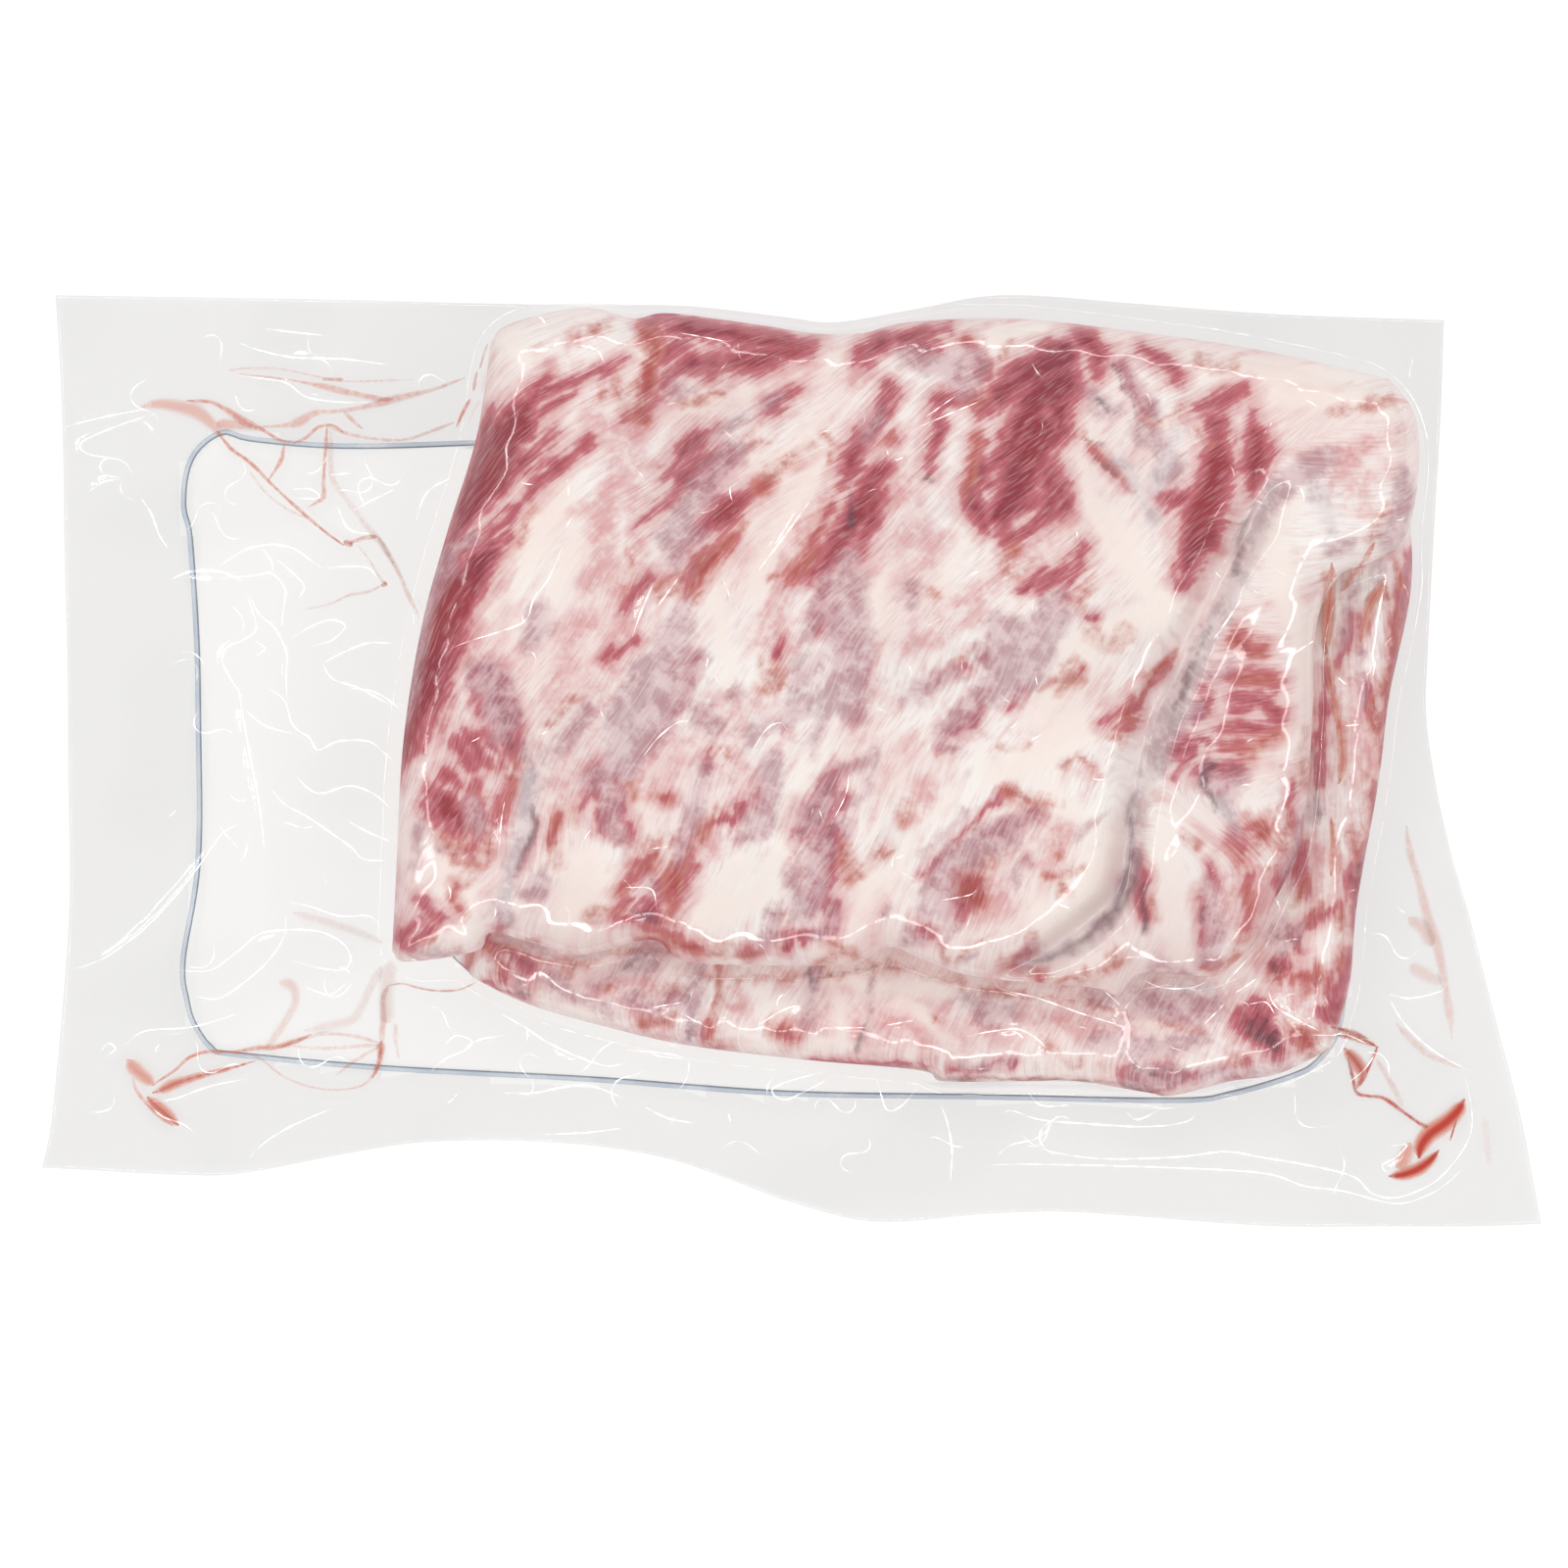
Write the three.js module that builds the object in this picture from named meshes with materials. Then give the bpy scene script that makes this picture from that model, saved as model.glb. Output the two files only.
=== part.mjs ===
// A sealed clear pouch drawn down over a rack of pork spare ribs folded in two.
// Millimetres. +X runs along the pouch, +Y towards the fold of the rack, +Z up.
// The flat web of the pouch lies on z = 0 and the formed web hugs the meat.
import * as THREE from "three";

const PACK_LENGTH = 420; // longest extent of the pouch, along X
const PACK_WIDTH = 261; // along Y
const SKIRT = 1.3; // thickness of the flat margin, both webs and the slack between them
const SKIRT_WAVE = 3.4; // rise of the waves in the margin
const WAVE_START = 14; // clear distance from the meat at which the margin may lift
const WAVE_RAMP = 30; // distance over which the lift grows to its full rise

const LOWER_TOP = 23; // top of the lower half of the rack
const UPPER_TOP = 46; // top of the upper half of the rack
const LOWER_ROUND = 13; // rounding of the lower half's rim
const UPPER_ROUND = 14; // rounding of the upper half's rim
const FLARE = 9; // run of the web between the foot of the meat and the margin
const FLARE_RISE = 4.5; // height at which the web leaves the meat
const FRONT_DROP = 5; // how much lower the upper half is at its front edge
const FLAP_DROP = 4; // how much lower the loose flap is than the main slab
const GROOVE_DEPTH = 13; // depth of the gap between main slab and flap under the web
const GROOVE_HALF = 7.5; // half width of that gap
const RIB_HOLLOW = 1.8; // depth of the hollows between rib ends on the ledge
const RIB_HALF = 6; // half width of those hollows
const SWELL = 0.9; // slow rise and fall of the meat over the ribs beneath
const RIB_PITCH = 30; // distance from rib to rib

// The pouch's edges: the two ends as [y, x], the two long sides as [x, y].
const END_LEFT = [
  [-114, -210], [-102.7, -207.5], [-86, -205.6], [-67, -203.9], [-34, -202.3], [7, -202.8],
  [48.5, -203.4], [103.5, -204.7], [130.4, -206],
];
const END_RIGHT = [
  [-129.7, 210.2], [-100, 204.2], [-72.5, 197.3], [-45, 190.4], [-25.7, 184.9], [-6.5, 180.8],
  [12.8, 178.1], [32, 178.6], [59.5, 180], [98, 182.2], [123.6, 183],
];
const SIDE_FRONT = [
  [-210, -114], [-167, -116], [-151, -115], [-126, -110.4], [-104, -107], [-79, -106.3],
  [-57, -107.7], [-35, -111.5], [-16, -117.8], [-2, -123], [17, -128.3], [31, -129], [53, -127],
  [75, -126.4], [94, -127.5], [135, -130.2], [163, -130.5], [190, -130.5], [210.2, -129.7],
];
const SIDE_BACK = [
  [-206, 130.4], [-140, 129.4], [-68, 128], [-30, 127.5], [-2, 124.5], [12, 123], [34, 126.6],
  [53, 130.2], [69, 130.5], [94, 128.5], [135, 125.4], [183, 123.6],
];

// Outlines of the meat seen from above, anticlockwise.
const UPPER_HALF = [
  [-109, -52], [-105, -55], [-86, -52], [-82, -47], [-70, -50], [-57, -53], [-38, -49],
  [-28, -55], [6, -56], [18, -55], [27, -51], [35, -54], [50, -59], [82, -62], [89, -64],
  [96, -58], [114, -59], [119, -57], [127, -49], [132, -38], [139, -22], [142, 9], [143, 36],
  [149, 50], [158, 54], [166, 60], [170, 78], [169, 93], [164, 100], [127, 108],
  [93, 114], [61, 118], [32, 117], [19, 114], [6, 114], [-10, 117], [-34, 120], [-43, 118],
  [-57, 121], [-77, 117], [-82, 112], [-86, 88], [-94, 62], [-101, 36], [-106, 4], [-108, -33],
];
const LOWER_HALF = [
  [-100, -46], [-87, -61], [-72, -68], [-51, -74], [-29, -79], [3, -83], [36, -86], [65, -89],
  [106, -93], [135, -87], [150, -80], [155, -62], [157, -40], [163, -6], [166, 18], [172, 48],
  [171, 75], [166, 95], [120, 105], [60, 113], [0, 111], [-60, 115], [-78, 104], [-90, 62],
  [-101, 20], [-103, -20],
];
// The gap between main slab and flap, from its shallow back end to its deep front end.
const GROOVE = [
  [133, 84], [127, 72], [121, 59], [109, 35], [103, 22], [97, 9], [92, -17], [88, -37],
  [72, -51], [60, -58],
];
// Hollows between the rib ends that show on the ledge, as positions along X.
const RIB_HOLLOWS = [-73, -23, 6, 27, 65, 96];

// Steep rims that lines of the grid run along: left and right rims as [y, x], front and
// back rims as [x, y].
const RIM_LEFT = [
  [-90, -84], [-66, -92], [-48, -108], [-33, -108], [4, -106], [36, -101], [62, -94], [88, -86],
  [112, -81], [130, -80],
];
const RIM_FLAP = [
  [-90, 112], [-58, 121], [-49, 127], [-38, 132], [-22, 139], [9, 142], [36, 144], [50, 153],
  [62, 165], [78, 169], [130, 164],
];
const RIM_RIGHT = [[-90, 146], [-62, 155], [-40, 157], [-6, 163], [18, 166], [48, 172], [130, 174]];
const RIM_LEDGE = [
  [-120, -52], [-87, -61], [-51, -74], [-29, -79], [3, -83], [36, -86], [65, -89], [106, -93],
  [135, -87], [170, -72],
];
const RIM_FRONT = [
  [-120, -48], [-86, -51], [-57, -53], [6, -56], [35, -54], [50, -59], [119, -57], [150, -50],
  [170, -46],
];
const RIM_BACK = [
  [-100, 110], [-77, 117], [-57, 121], [-34, 119], [6, 114], [32, 117], [61, 118], [93, 114],
  [127, 108], [164, 100], [200, 96],
];

const clamp01 = (t) => Math.min(1, Math.max(0, t));
const smooth = (t) => clamp01(t) ** 2 * (3 - 2 * clamp01(t));

// Evenly spaced points of a smooth curve through the points of an outline, at z = 0.
function sampled(points, closed, count) {
  const corners = points.map(([x, y]) => new THREE.Vector3(x, y, 0));
  return new THREE.CatmullRomCurve3(corners, closed, "centripetal").getSpacedPoints(count);
}

// Distance from (x, y) to the nearest point of a sampled line, and how far along it lies.
function nearest(line, x, y) {
  let best = Infinity;
  let along = 0;
  for (let i = 0; i + 1 < line.length; i++) {
    const a = line[i];
    const b = line[i + 1];
    const dx = b.x - a.x;
    const dy = b.y - a.y;
    const t = clamp01(((x - a.x) * dx + (y - a.y) * dy) / (dx * dx + dy * dy));
    const gap = Math.hypot(x - a.x - t * dx, y - a.y - t * dy);
    if (gap < best) {
      best = gap;
      along = (i + t) / (line.length - 1);
    }
  }
  return { gap: best, along };
}

// True inside a closed sampled outline: a ray towards +X crosses it an odd number of times.
function inside(line, x, y) {
  let odd = false;
  for (let i = 0; i + 1 < line.length; i++) {
    const a = line[i];
    const b = line[i + 1];
    const crosses = a.y > y !== b.y > y;
    if (crosses && x < a.x + ((y - a.y) * (b.x - a.x)) / (b.y - a.y)) odd = !odd;
  }
  return odd;
}

const upperLine = sampled(UPPER_HALF, true, 220);
const lowerLine = sampled(LOWER_HALF, true, 160);
const grooveLine = sampled(GROOVE, false, 60);

// Depth inside an outline; negative outside it.
function depthIn(line, x, y) {
  const { gap } = nearest(line, x, y);
  return inside(line, x, y) ? gap : -gap;
}

// Profile of one slab under the web: a rounded shoulder inside the outline, and outside it
// a hollow flare that runs out to the margin.
function shoulder(depth, top, round) {
  if (depth > 0) {
    const t = clamp01(1 - depth / round);
    return FLARE_RISE + (top - FLARE_RISE) * Math.sqrt(1 - t * t);
  }
  return SKIRT + (FLARE_RISE - SKIRT) * clamp01(1 + depth / FLARE) ** 2;
}

// Larger of two heights with the inner corner between them filled by a fillet.
function blend(a, b, fillet) {
  const overlap = Math.max(0, fillet - Math.abs(a - b));
  return Math.max(a, b) + (overlap * overlap) / (4 * fillet);
}

function ribHollow(x) {
  return RIB_HOLLOWS.reduce((sum, at) => sum + Math.exp(-(((x - at) / RIB_HALF) ** 2)), 0);
}

// Height of the meat under the web.
function meatHeight(x, y) {
  const lowerDepth = depthIn(lowerLine, x, y);
  const upperDepth = depthIn(upperLine, x, y);
  const ledge = smooth((-40 - y) / 20);
  const lowerTop = LOWER_TOP - RIB_HOLLOW * ribHollow(x) * ledge;
  const lower = shoulder(lowerDepth, lowerTop, LOWER_ROUND);

  const { gap, along } = nearest(grooveLine, x, y);
  const onFlap = smooth((x - 92 - (y + 20) * 0.36) / 16) * smooth((70 - y) / 30);
  const overRibs = Math.sin(((x * 0.83 - y * 0.56) * Math.PI) / RIB_PITCH);
  const swell = SWELL * (overRibs + Math.sin((x + 2 * y) / (2 * RIB_PITCH) + 1));
  const upperTop = UPPER_TOP - FRONT_DROP * smooth((10 - y) / 70) - FLAP_DROP * onFlap + swell;
  const channel = GROOVE_DEPTH * smooth(along / 0.25) * Math.exp(-((gap / GROOVE_HALF) ** 2));
  const upper = shoulder(upperDepth, upperTop - channel, UPPER_ROUND);
  return { height: blend(lower, upper, 5), clear: -Math.max(lowerDepth, upperDepth) };
}

// Lift of the margin off the table: long waves that run out from the meat, none at the foot.
function marginLift(x, y, clear) {
  const turn = Math.atan2(y * 1.4, x);
  const wave = 0.5 + 0.5 * Math.sin(turn * 9 + x / 31) * Math.cos(y / 27 - x / 90);
  return SKIRT_WAVE * wave * smooth((clear - WAVE_START) / WAVE_RAMP);
}

// Value at t of a smooth line given as points [t, value] in rising t.
function valueAt(points, t) {
  const last = points.length - 1;
  let i = 0;
  while (i < last - 1 && points[i + 1][0] < t) i++;
  const share = clamp01((t - points[i][0]) / (points[i + 1][0] - points[i][0]));
  const before = points[Math.max(i - 1, 0)];
  const after = points[Math.min(i + 2, last)];
  const slopeA = (points[i + 1][1] - before[1]) / (points[i + 1][0] - before[0]);
  const slopeB = (after[1] - points[i][1]) / (after[0] - points[i][0]);
  const step = points[i + 1][0] - points[i][0];
  const rise = points[i + 1][1] - points[i][1];
  const bend = share * (1 - share) * step;
  const lean = (1 - share) * (slopeA - rise / step) - share * (slopeB - rise / step);
  return points[i][1] + rise * share + bend * lean;
}

// Lines of the grid from left to right and from front to back. Each band runs from one
// guide to the next in a number of cells; every number is even, for the coarser underside.
const COLUMN_BANDS = [
  { from: (y) => valueAt(END_LEFT, y), cells: 10 },
  { from: (y) => valueAt(RIM_LEFT, y) - FLARE, cells: 2 },
  { from: (y) => valueAt(RIM_LEFT, y), cells: 4 },
  { from: (y) => valueAt(RIM_LEFT, y) + UPPER_ROUND, cells: 36 },
  { from: (y) => valueAt(RIM_FLAP, y) - UPPER_ROUND, cells: 4 },
  { from: (y) => Math.min(valueAt(RIM_FLAP, y), valueAt(RIM_RIGHT, y) - 3), cells: 4 },
  { from: (y) => valueAt(RIM_RIGHT, y), cells: 2 },
  { from: (y) => Math.min(valueAt(RIM_RIGHT, y) + FLARE, valueAt(END_RIGHT, y) - 3), cells: 4 },
  { from: (y) => valueAt(END_RIGHT, y), cells: 0 },
];
const ROW_BANDS = [
  { from: (x) => valueAt(SIDE_FRONT, x), cells: 6 },
  { from: (x) => valueAt(RIM_LEDGE, x) - FLARE, cells: 2 },
  { from: (x) => valueAt(RIM_LEDGE, x), cells: 4 },
  { from: (x) => valueAt(RIM_LEDGE, x) + LOWER_ROUND, cells: 2 },
  { from: (x) => valueAt(RIM_FRONT, x) - 2, cells: 4 },
  { from: (x) => valueAt(RIM_FRONT, x) + UPPER_ROUND, cells: 26 },
  { from: (x) => valueAt(RIM_BACK, x) - UPPER_ROUND, cells: 4 },
  { from: (x) => valueAt(RIM_BACK, x), cells: 4 },
  { from: (x) => valueAt(SIDE_BACK, x), cells: 0 },
];
const cellsOf = (bands) => bands.reduce((sum, band) => sum + band.cells, 0);
const COLUMNS = cellsOf(COLUMN_BANDS);
const ROWS = cellsOf(ROW_BANDS);

// Place of grid line number n across the bands, for a point at t along that line.
function lineAt(bands, n, t) {
  let first = 0;
  let k = 0;
  while (n > first + bands[k].cells && k < bands.length - 2) {
    first += bands[k].cells;
    k++;
  }
  const share = (n - first) / bands[k].cells;
  return bands[k].from(t) * (1 - share) + bands[k + 1].from(t) * share;
}

// Crossing of column line i and row line j, found by stepping back and forth.
function gridPoint(i, j) {
  let x = 0;
  let y = 0;
  for (let step = 0; step < 24; step++) {
    x = lineAt(COLUMN_BANDS, i, y);
    y = lineAt(ROW_BANDS, j, x);
  }
  return [x, y];
}

// Closed body: the formed web on the full grid, the flat web on every second line of it,
// and a narrow wall round the edge that joins the two.
function packGeometry() {
  const vertices = [];
  const faces = [];
  const add = (x, y, z) => vertices.push([x, y, z]) - 1;
  const upperIndex = [];
  const lowerIndex = [];
  for (let j = 0; j <= ROWS; j++) {
    upperIndex.push([]);
    lowerIndex.push([]);
    for (let i = 0; i <= COLUMNS; i++) {
      const [x, y] = gridPoint(i, j);
      const { height, clear } = meatHeight(x, y);
      const lift = marginLift(x, y, clear);
      upperIndex[j].push(add(x, y, height + lift));
      const kept = i % 2 === 0 && j % 2 === 0;
      lowerIndex[j].push(kept ? add(x, y, lift) : -1);
    }
  }
  const quad = (a, b, c, d) => faces.push([a, b, c], [a, c, d]);
  for (let j = 0; j < ROWS; j++) {
    for (let i = 0; i < COLUMNS; i++) {
      const top = upperIndex;
      quad(top[j][i], top[j][i + 1], top[j + 1][i + 1], top[j + 1][i]);
    }
  }
  for (let j = 0; j < ROWS; j += 2) {
    for (let i = 0; i < COLUMNS; i += 2) {
      const low = lowerIndex;
      quad(low[j][i], low[j + 2][i], low[j + 2][i + 2], low[j][i + 2]);
    }
  }
  // One stretch of wall: two cells of the formed web above one of the flat web,
  // walked anticlockwise as seen from above.
  const wall = ([j0, i0], [j1, i1], [j2, i2]) => {
    const middle = upperIndex[j1][i1];
    const low = lowerIndex[j0][i0];
    const nextLow = lowerIndex[j2][i2];
    faces.push([upperIndex[j0][i0], low, middle]);
    faces.push([middle, low, nextLow]);
    faces.push([middle, nextLow, upperIndex[j2][i2]]);
  };
  for (let i = 0; i < COLUMNS; i += 2) {
    wall([0, i], [0, i + 1], [0, i + 2]);
    wall([ROWS, i + 2], [ROWS, i + 1], [ROWS, i]);
  }
  for (let j = 0; j < ROWS; j += 2) {
    wall([j, COLUMNS], [j + 1, COLUMNS], [j + 2, COLUMNS]);
    wall([j + 2, 0], [j + 1, 0], [j, 0]);
  }
  const geometry = new THREE.BufferGeometry();
  geometry.setAttribute("position", new THREE.Float32BufferAttribute(vertices.flat(), 3));
  geometry.setIndex(faces.flat());
  return geometry;
}

// Brings the pouch to its stated length and width with the middle of its box on the origin.
function settle(geometry) {
  geometry.computeBoundingBox();
  const box = geometry.boundingBox;
  const span = box.getSize(new THREE.Vector3());
  const centre = box.getCenter(new THREE.Vector3());
  geometry.translate(-centre.x, -centre.y, -box.min.z);
  geometry.scale(PACK_LENGTH / span.x, PACK_WIDTH / span.y, 1);
  geometry.computeVertexNormals();
  return geometry;
}

const look = new THREE.MeshStandardMaterial({ color: 0xc98a86, roughness: 0.25, metalness: 0 });
const pack = new THREE.Mesh(settle(packGeometry()), look);
pack.name = "sealed_pack";
const pork = new THREE.Group();
pork.name = "spare_rib_pack";
pork.add(pack);

export default pork;
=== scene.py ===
import bpy
import numpy as np
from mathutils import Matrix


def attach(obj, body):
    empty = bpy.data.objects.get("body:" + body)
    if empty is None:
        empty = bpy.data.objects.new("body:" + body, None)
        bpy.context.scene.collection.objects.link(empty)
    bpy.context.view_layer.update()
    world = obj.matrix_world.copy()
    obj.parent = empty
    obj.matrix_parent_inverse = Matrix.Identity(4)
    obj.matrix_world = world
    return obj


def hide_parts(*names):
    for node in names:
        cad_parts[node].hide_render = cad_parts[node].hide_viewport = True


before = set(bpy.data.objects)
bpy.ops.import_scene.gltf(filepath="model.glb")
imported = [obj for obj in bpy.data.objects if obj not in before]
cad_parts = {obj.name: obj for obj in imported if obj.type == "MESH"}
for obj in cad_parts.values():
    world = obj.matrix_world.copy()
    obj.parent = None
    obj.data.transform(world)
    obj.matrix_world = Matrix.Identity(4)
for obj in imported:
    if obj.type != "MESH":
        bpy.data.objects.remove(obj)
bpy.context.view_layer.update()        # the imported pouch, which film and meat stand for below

mm = 0.001
fullTurn = 6.28        # radians, near enough for waves and headings

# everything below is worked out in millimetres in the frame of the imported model:
# x to the right along the pouch, y towards the fold of the rack, z up from the table


# sums and shapes shared by the pieces

def smooth(t):        # 0 up to 0, 1 from 1 on, an S between
    t = np.clip(t, 0, 1)
    return t * t * (3 - 2 * t)


curve = {"stepsPerStretch": 24}


def curveThrough(points, count, closed=False):
    # Catmull-Rom curve: each stretch is the cubic that leaves a point along the chord of its neighbours
    p = np.array(points, float)
    before, after = (p[-1:], p[:2]) if closed else (2 * p[:1] - p[1:2], 2 * p[-1:] - p[-2:-1])
    padded = np.concatenate([before, p, after])
    stretches = len(p) if closed else len(p) - 1
    fine = np.linspace(0, stretches, stretches * curve["stepsPerStretch"] + 1)
    k = np.minimum(fine.astype(int), stretches - 1)
    t = (fine - k)[:, None]
    a, b, c, d = (padded[k + i] for i in range(4))
    bend, twist = 2 * a - 5 * b + 4 * c - d, 3 * b - a - 3 * c + d
    line = 0.5 * (2 * b + (c - a) * t + bend * t ** 2 + twist * t ** 3)
    along = np.concatenate([[0], np.cumsum(np.hypot(*np.diff(line[:, :2], axis=0).T))])
    even = np.linspace(0, along[-1], count + 1 if closed else count)
    out = np.stack([np.interp(even, along, line[:, i]) for i in range(line.shape[1])], axis=1)
    return out[:-1] if closed else out


def distanceTo(line, x, y, closed=False, widths=None):
    # least distance to the line's stretches; with widths, the depth inside a swept disc instead
    ends = np.roll(line, -1, axis=0) if closed else line[1:]
    best = np.full(x.shape, -1e9)
    for i, (a, b) in enumerate(zip(line, ends)):
        run = b[:2] - a[:2]
        t = np.clip(((x - a[0]) * run[0] + (y - a[1]) * run[1]) / max(run @ run, 1e-9), 0, 1)
        reach = 0 if widths is None else widths[i] + t * (widths[(i + 1) % len(widths)] - widths[i])
        best = np.maximum(best, reach - np.hypot(x - a[0] - t * run[0], y - a[1] - t * run[1]))
    return best if widths is not None else -best


def isInside(loop, x, y):        # a ray towards +x crosses the loop an odd number of times
    odd = np.zeros(x.shape, bool)
    for a, b in zip(loop, np.roll(loop, -1, axis=0)):
        if a[1] != b[1]:
            odd ^= ((a[1] > y) != (b[1] > y)) & (x < a[0] + (y - a[1]) * (b[0] - a[0]) / (b[1] - a[1]))
    return odd


def depthIn(loop, x, y):        # distance to the rim, negative outside it
    return np.where(isInside(loop, x, y), 1, -1) * distanceTo(loop, x, y, closed=True)


def waves(x, y, seed, size, count=7):        # seeded sum of sines with random headings, about -1 to 1
    draw = np.random.default_rng(seed)
    total = 0
    for heading, phase, pitch in draw.uniform([0, 0, 0.6], [np.pi, fullTurn, 1.7], (count, 3)):
        way = x * np.cos(heading) + y * np.sin(heading)
        total = total + np.sin(way * fullTurn / (size * pitch) + phase)
    return total / np.sqrt(count * 1.2)


def gridFaces(index):        # quads between neighbouring rows and columns of vertex numbers
    return np.stack([index[:-1, :-1], index[:-1, 1:], index[1:, 1:], index[1:, :-1]], axis=-1).reshape(-1, 4)


def tubeFaces(index):        # the wall round a tube's rings, and its two end caps
    return [gridFaces(np.concatenate([index, index[:, :1]], axis=1)),
            np.concatenate([index[0][None, ::-1], index[-1][None]])]


def asideOf(line):        # unit steps to the right of a line's run
    run = np.gradient(line, axis=0)
    return np.stack([run[:, 1], -run[:, 0]], axis=1) / np.hypot(run[:, 0], run[:, 1])[:, None]


def makePiece(name, points, faces, finish, values=None, uv=None):
    # points in mm, faces as rows of vertex numbers, values and uv for each point
    mesh = bpy.data.meshes.new(name)
    mesh.vertices.add(len(points))
    mesh.vertices.foreach_set("co", (points * mm).astype(np.float32).ravel())
    corners = np.concatenate([np.full(len(block), block.shape[1]) for block in faces])
    order = np.concatenate([block.ravel() for block in faces]).astype(np.int32)
    mesh.loops.add(len(order))
    mesh.loops.foreach_set("vertex_index", order)
    mesh.polygons.add(len(corners))
    mesh.polygons.foreach_set("loop_start", np.concatenate([[0], np.cumsum(corners)[:-1]]).astype(np.int32))
    mesh.polygons.foreach_set("loop_total", corners.astype(np.int32))
    mesh.polygons.foreach_set("use_smooth", np.ones(len(corners), bool))
    for key, amount in (values or {}).items():
        layer = mesh.attributes.new(key, "FLOAT", "POINT")
        layer.data.foreach_set("value", amount.astype(np.float32).ravel())
    if uv is not None:
        mesh.uv_layers.new(name="grainMap").data.foreach_set("uv", uv[order].astype(np.float32).ravel())
    mesh.update(calc_edges=True)
    mesh.validate()
    mesh.materials.append(finish)
    piece = bpy.data.objects.new(name, mesh)
    bpy.context.scene.collection.objects.link(piece)
    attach(piece, "root")
    print("made", name, len(points), "points")
    return piece


# shader maths

def colour(text):        # sRGB hex to linear red, green, blue, alpha
    c = np.array([int(text[i:i + 2], 16) / 255 for i in (0, 2, 4)])
    return (*np.where(c <= 0.04045, c / 12.92, ((c + 0.055) / 1.055) ** 2.4), 1)


class Wire:        # one output of a node; arithmetic on it adds Math nodes
    def __init__(self, finish, socket):
        self.finish, self.socket = finish, socket

    def maths(self, operation, *values):
        return self.finish.node("ShaderNodeMath", {"operation": operation}, dict(enumerate(values)))

    def __add__(self, other): return self.maths("ADD", self, other)
    def __sub__(self, other): return self.maths("SUBTRACT", self, other)
    def __rsub__(self, other): return self.maths("SUBTRACT", other, self)
    def __mul__(self, other): return self.maths("MULTIPLY", self, other)
    def __pow__(self, other): return self.maths("POWER", self, other)
    __radd__, __rmul__ = __add__, __mul__

    def ramp(self, low, high):        # smooth climb from 0 at low to 1 at high
        return self.finish.node("ShaderNodeMapRange", {"interpolation_type": "SMOOTHSTEP"},
                                {"Value": self, "From Min": low, "From Max": high})


class Finish:        # a node material
    def __init__(self, name):
        self.material = bpy.data.materials.new(name)
        self.material.use_nodes = True
        self.tree = self.material.node_tree
        self.tree.nodes.clear()

    def node(self, kind, settings=None, inputs=None, out=0):
        made = self.tree.nodes.new(kind)
        for key, value in (settings or {}).items():
            setattr(made, key, value)
        for key, value in (inputs or {}).items():
            if isinstance(value, Wire):
                self.tree.links.new(value.socket, made.inputs[key])
            else:
                made.inputs[key].default_value = value
        return Wire(self, made.outputs[out])

    def value(self, name):        # an attribute of the mesh
        return self.node("ShaderNodeAttribute", {"attribute_name": name}, out="Fac")

    def mix(self, factor, first, second):        # blend of two colours
        return self.node("ShaderNodeMix", {"data_type": "RGBA"}, {0: factor, 6: first, 7: second}, out=2)

    def noise(self, place, scale, stretch=(1, 1, 1), detail=3, roughness=0.5):
        placed = self.node("ShaderNodeMapping", None, {"Vector": place, "Scale": stretch})
        return self.node("ShaderNodeTexNoise", None,
                         {"Vector": placed, "Scale": scale, "Detail": detail, "Roughness": roughness})

    def over(self, cover, looks):        # a surface laid on by a cover of 0 to 1, clear elsewhere
        laid = self.node("ShaderNodeBsdfPrincipled", None, looks, out="BSDF")
        clear = self.node("ShaderNodeBsdfTransparent", None, {"Color": (1, 1, 1, 1)})
        return self.done(self.node("ShaderNodeMixShader", None, {0: cover, 1: clear, 2: laid}))

    def done(self, surface):
        output = self.tree.nodes.new("ShaderNodeOutputMaterial")
        self.tree.links.new(surface.socket, output.inputs["Surface"])
        return self.material


# camera, floor and lights

view = {"height": 1200, "frameWidth": 440, "centre": (-2.06, -6.46), "sensor": 36, "clipEnd": 50}
studio = {
    "skyStrength": 0.55, "ringPower": 9.5, "lampCount": 14, "lampSpan": 300, "lampWidth": 90,
    "lampReach": 820, "lampHeight": 860,
    "floorSize": 12000, "floorTone": "A0A0A1", "floorCloud": "A4A4A4", "cloudScale": 2, "floorGlow": 0.74,
}


def placeCamera():
    data = bpy.data.cameras.new("overhead")
    data.sensor_width = view["sensor"]
    data.lens = view["sensor"] * view["height"] / view["frameWidth"]
    data.clip_end = view["clipEnd"]
    camera = bpy.data.objects.new("overhead", data)
    camera.location = (view["centre"][0] * mm, view["centre"][1] * mm, view["height"] * mm)
    bpy.context.scene.collection.objects.link(camera)
    bpy.context.scene.camera = camera


def layFloor():
    finish = Finish("paleFloor")
    cloudy = finish.noise(finish.node("ShaderNodeTexCoord", out="Object"), studio["cloudScale"], detail=2)
    tone = finish.mix(cloudy, colour(studio["floorTone"]), colour(studio["floorCloud"]))
    base = finish.node("ShaderNodeBsdfPrincipled", None, {
        "Base Color": tone, "Roughness": 0.9, "Specular IOR Level": 0.1,
        "Emission Color": colour("FFFFFF"), "Emission Strength": studio["floorGlow"]}, out="BSDF")
    half = studio["floorSize"] / 2 * mm
    mesh = bpy.data.meshes.new("floor")
    corners = [(-half, -half, 0), (half, -half, 0), (half, half, 0), (-half, half, 0)]
    mesh.from_pydata(corners, [], [(0, 1, 2, 3)])
    mesh.materials.append(finish.done(base))
    floor = bpy.data.objects.new("floor", mesh)
    bpy.context.scene.collection.objects.link(floor)


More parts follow.
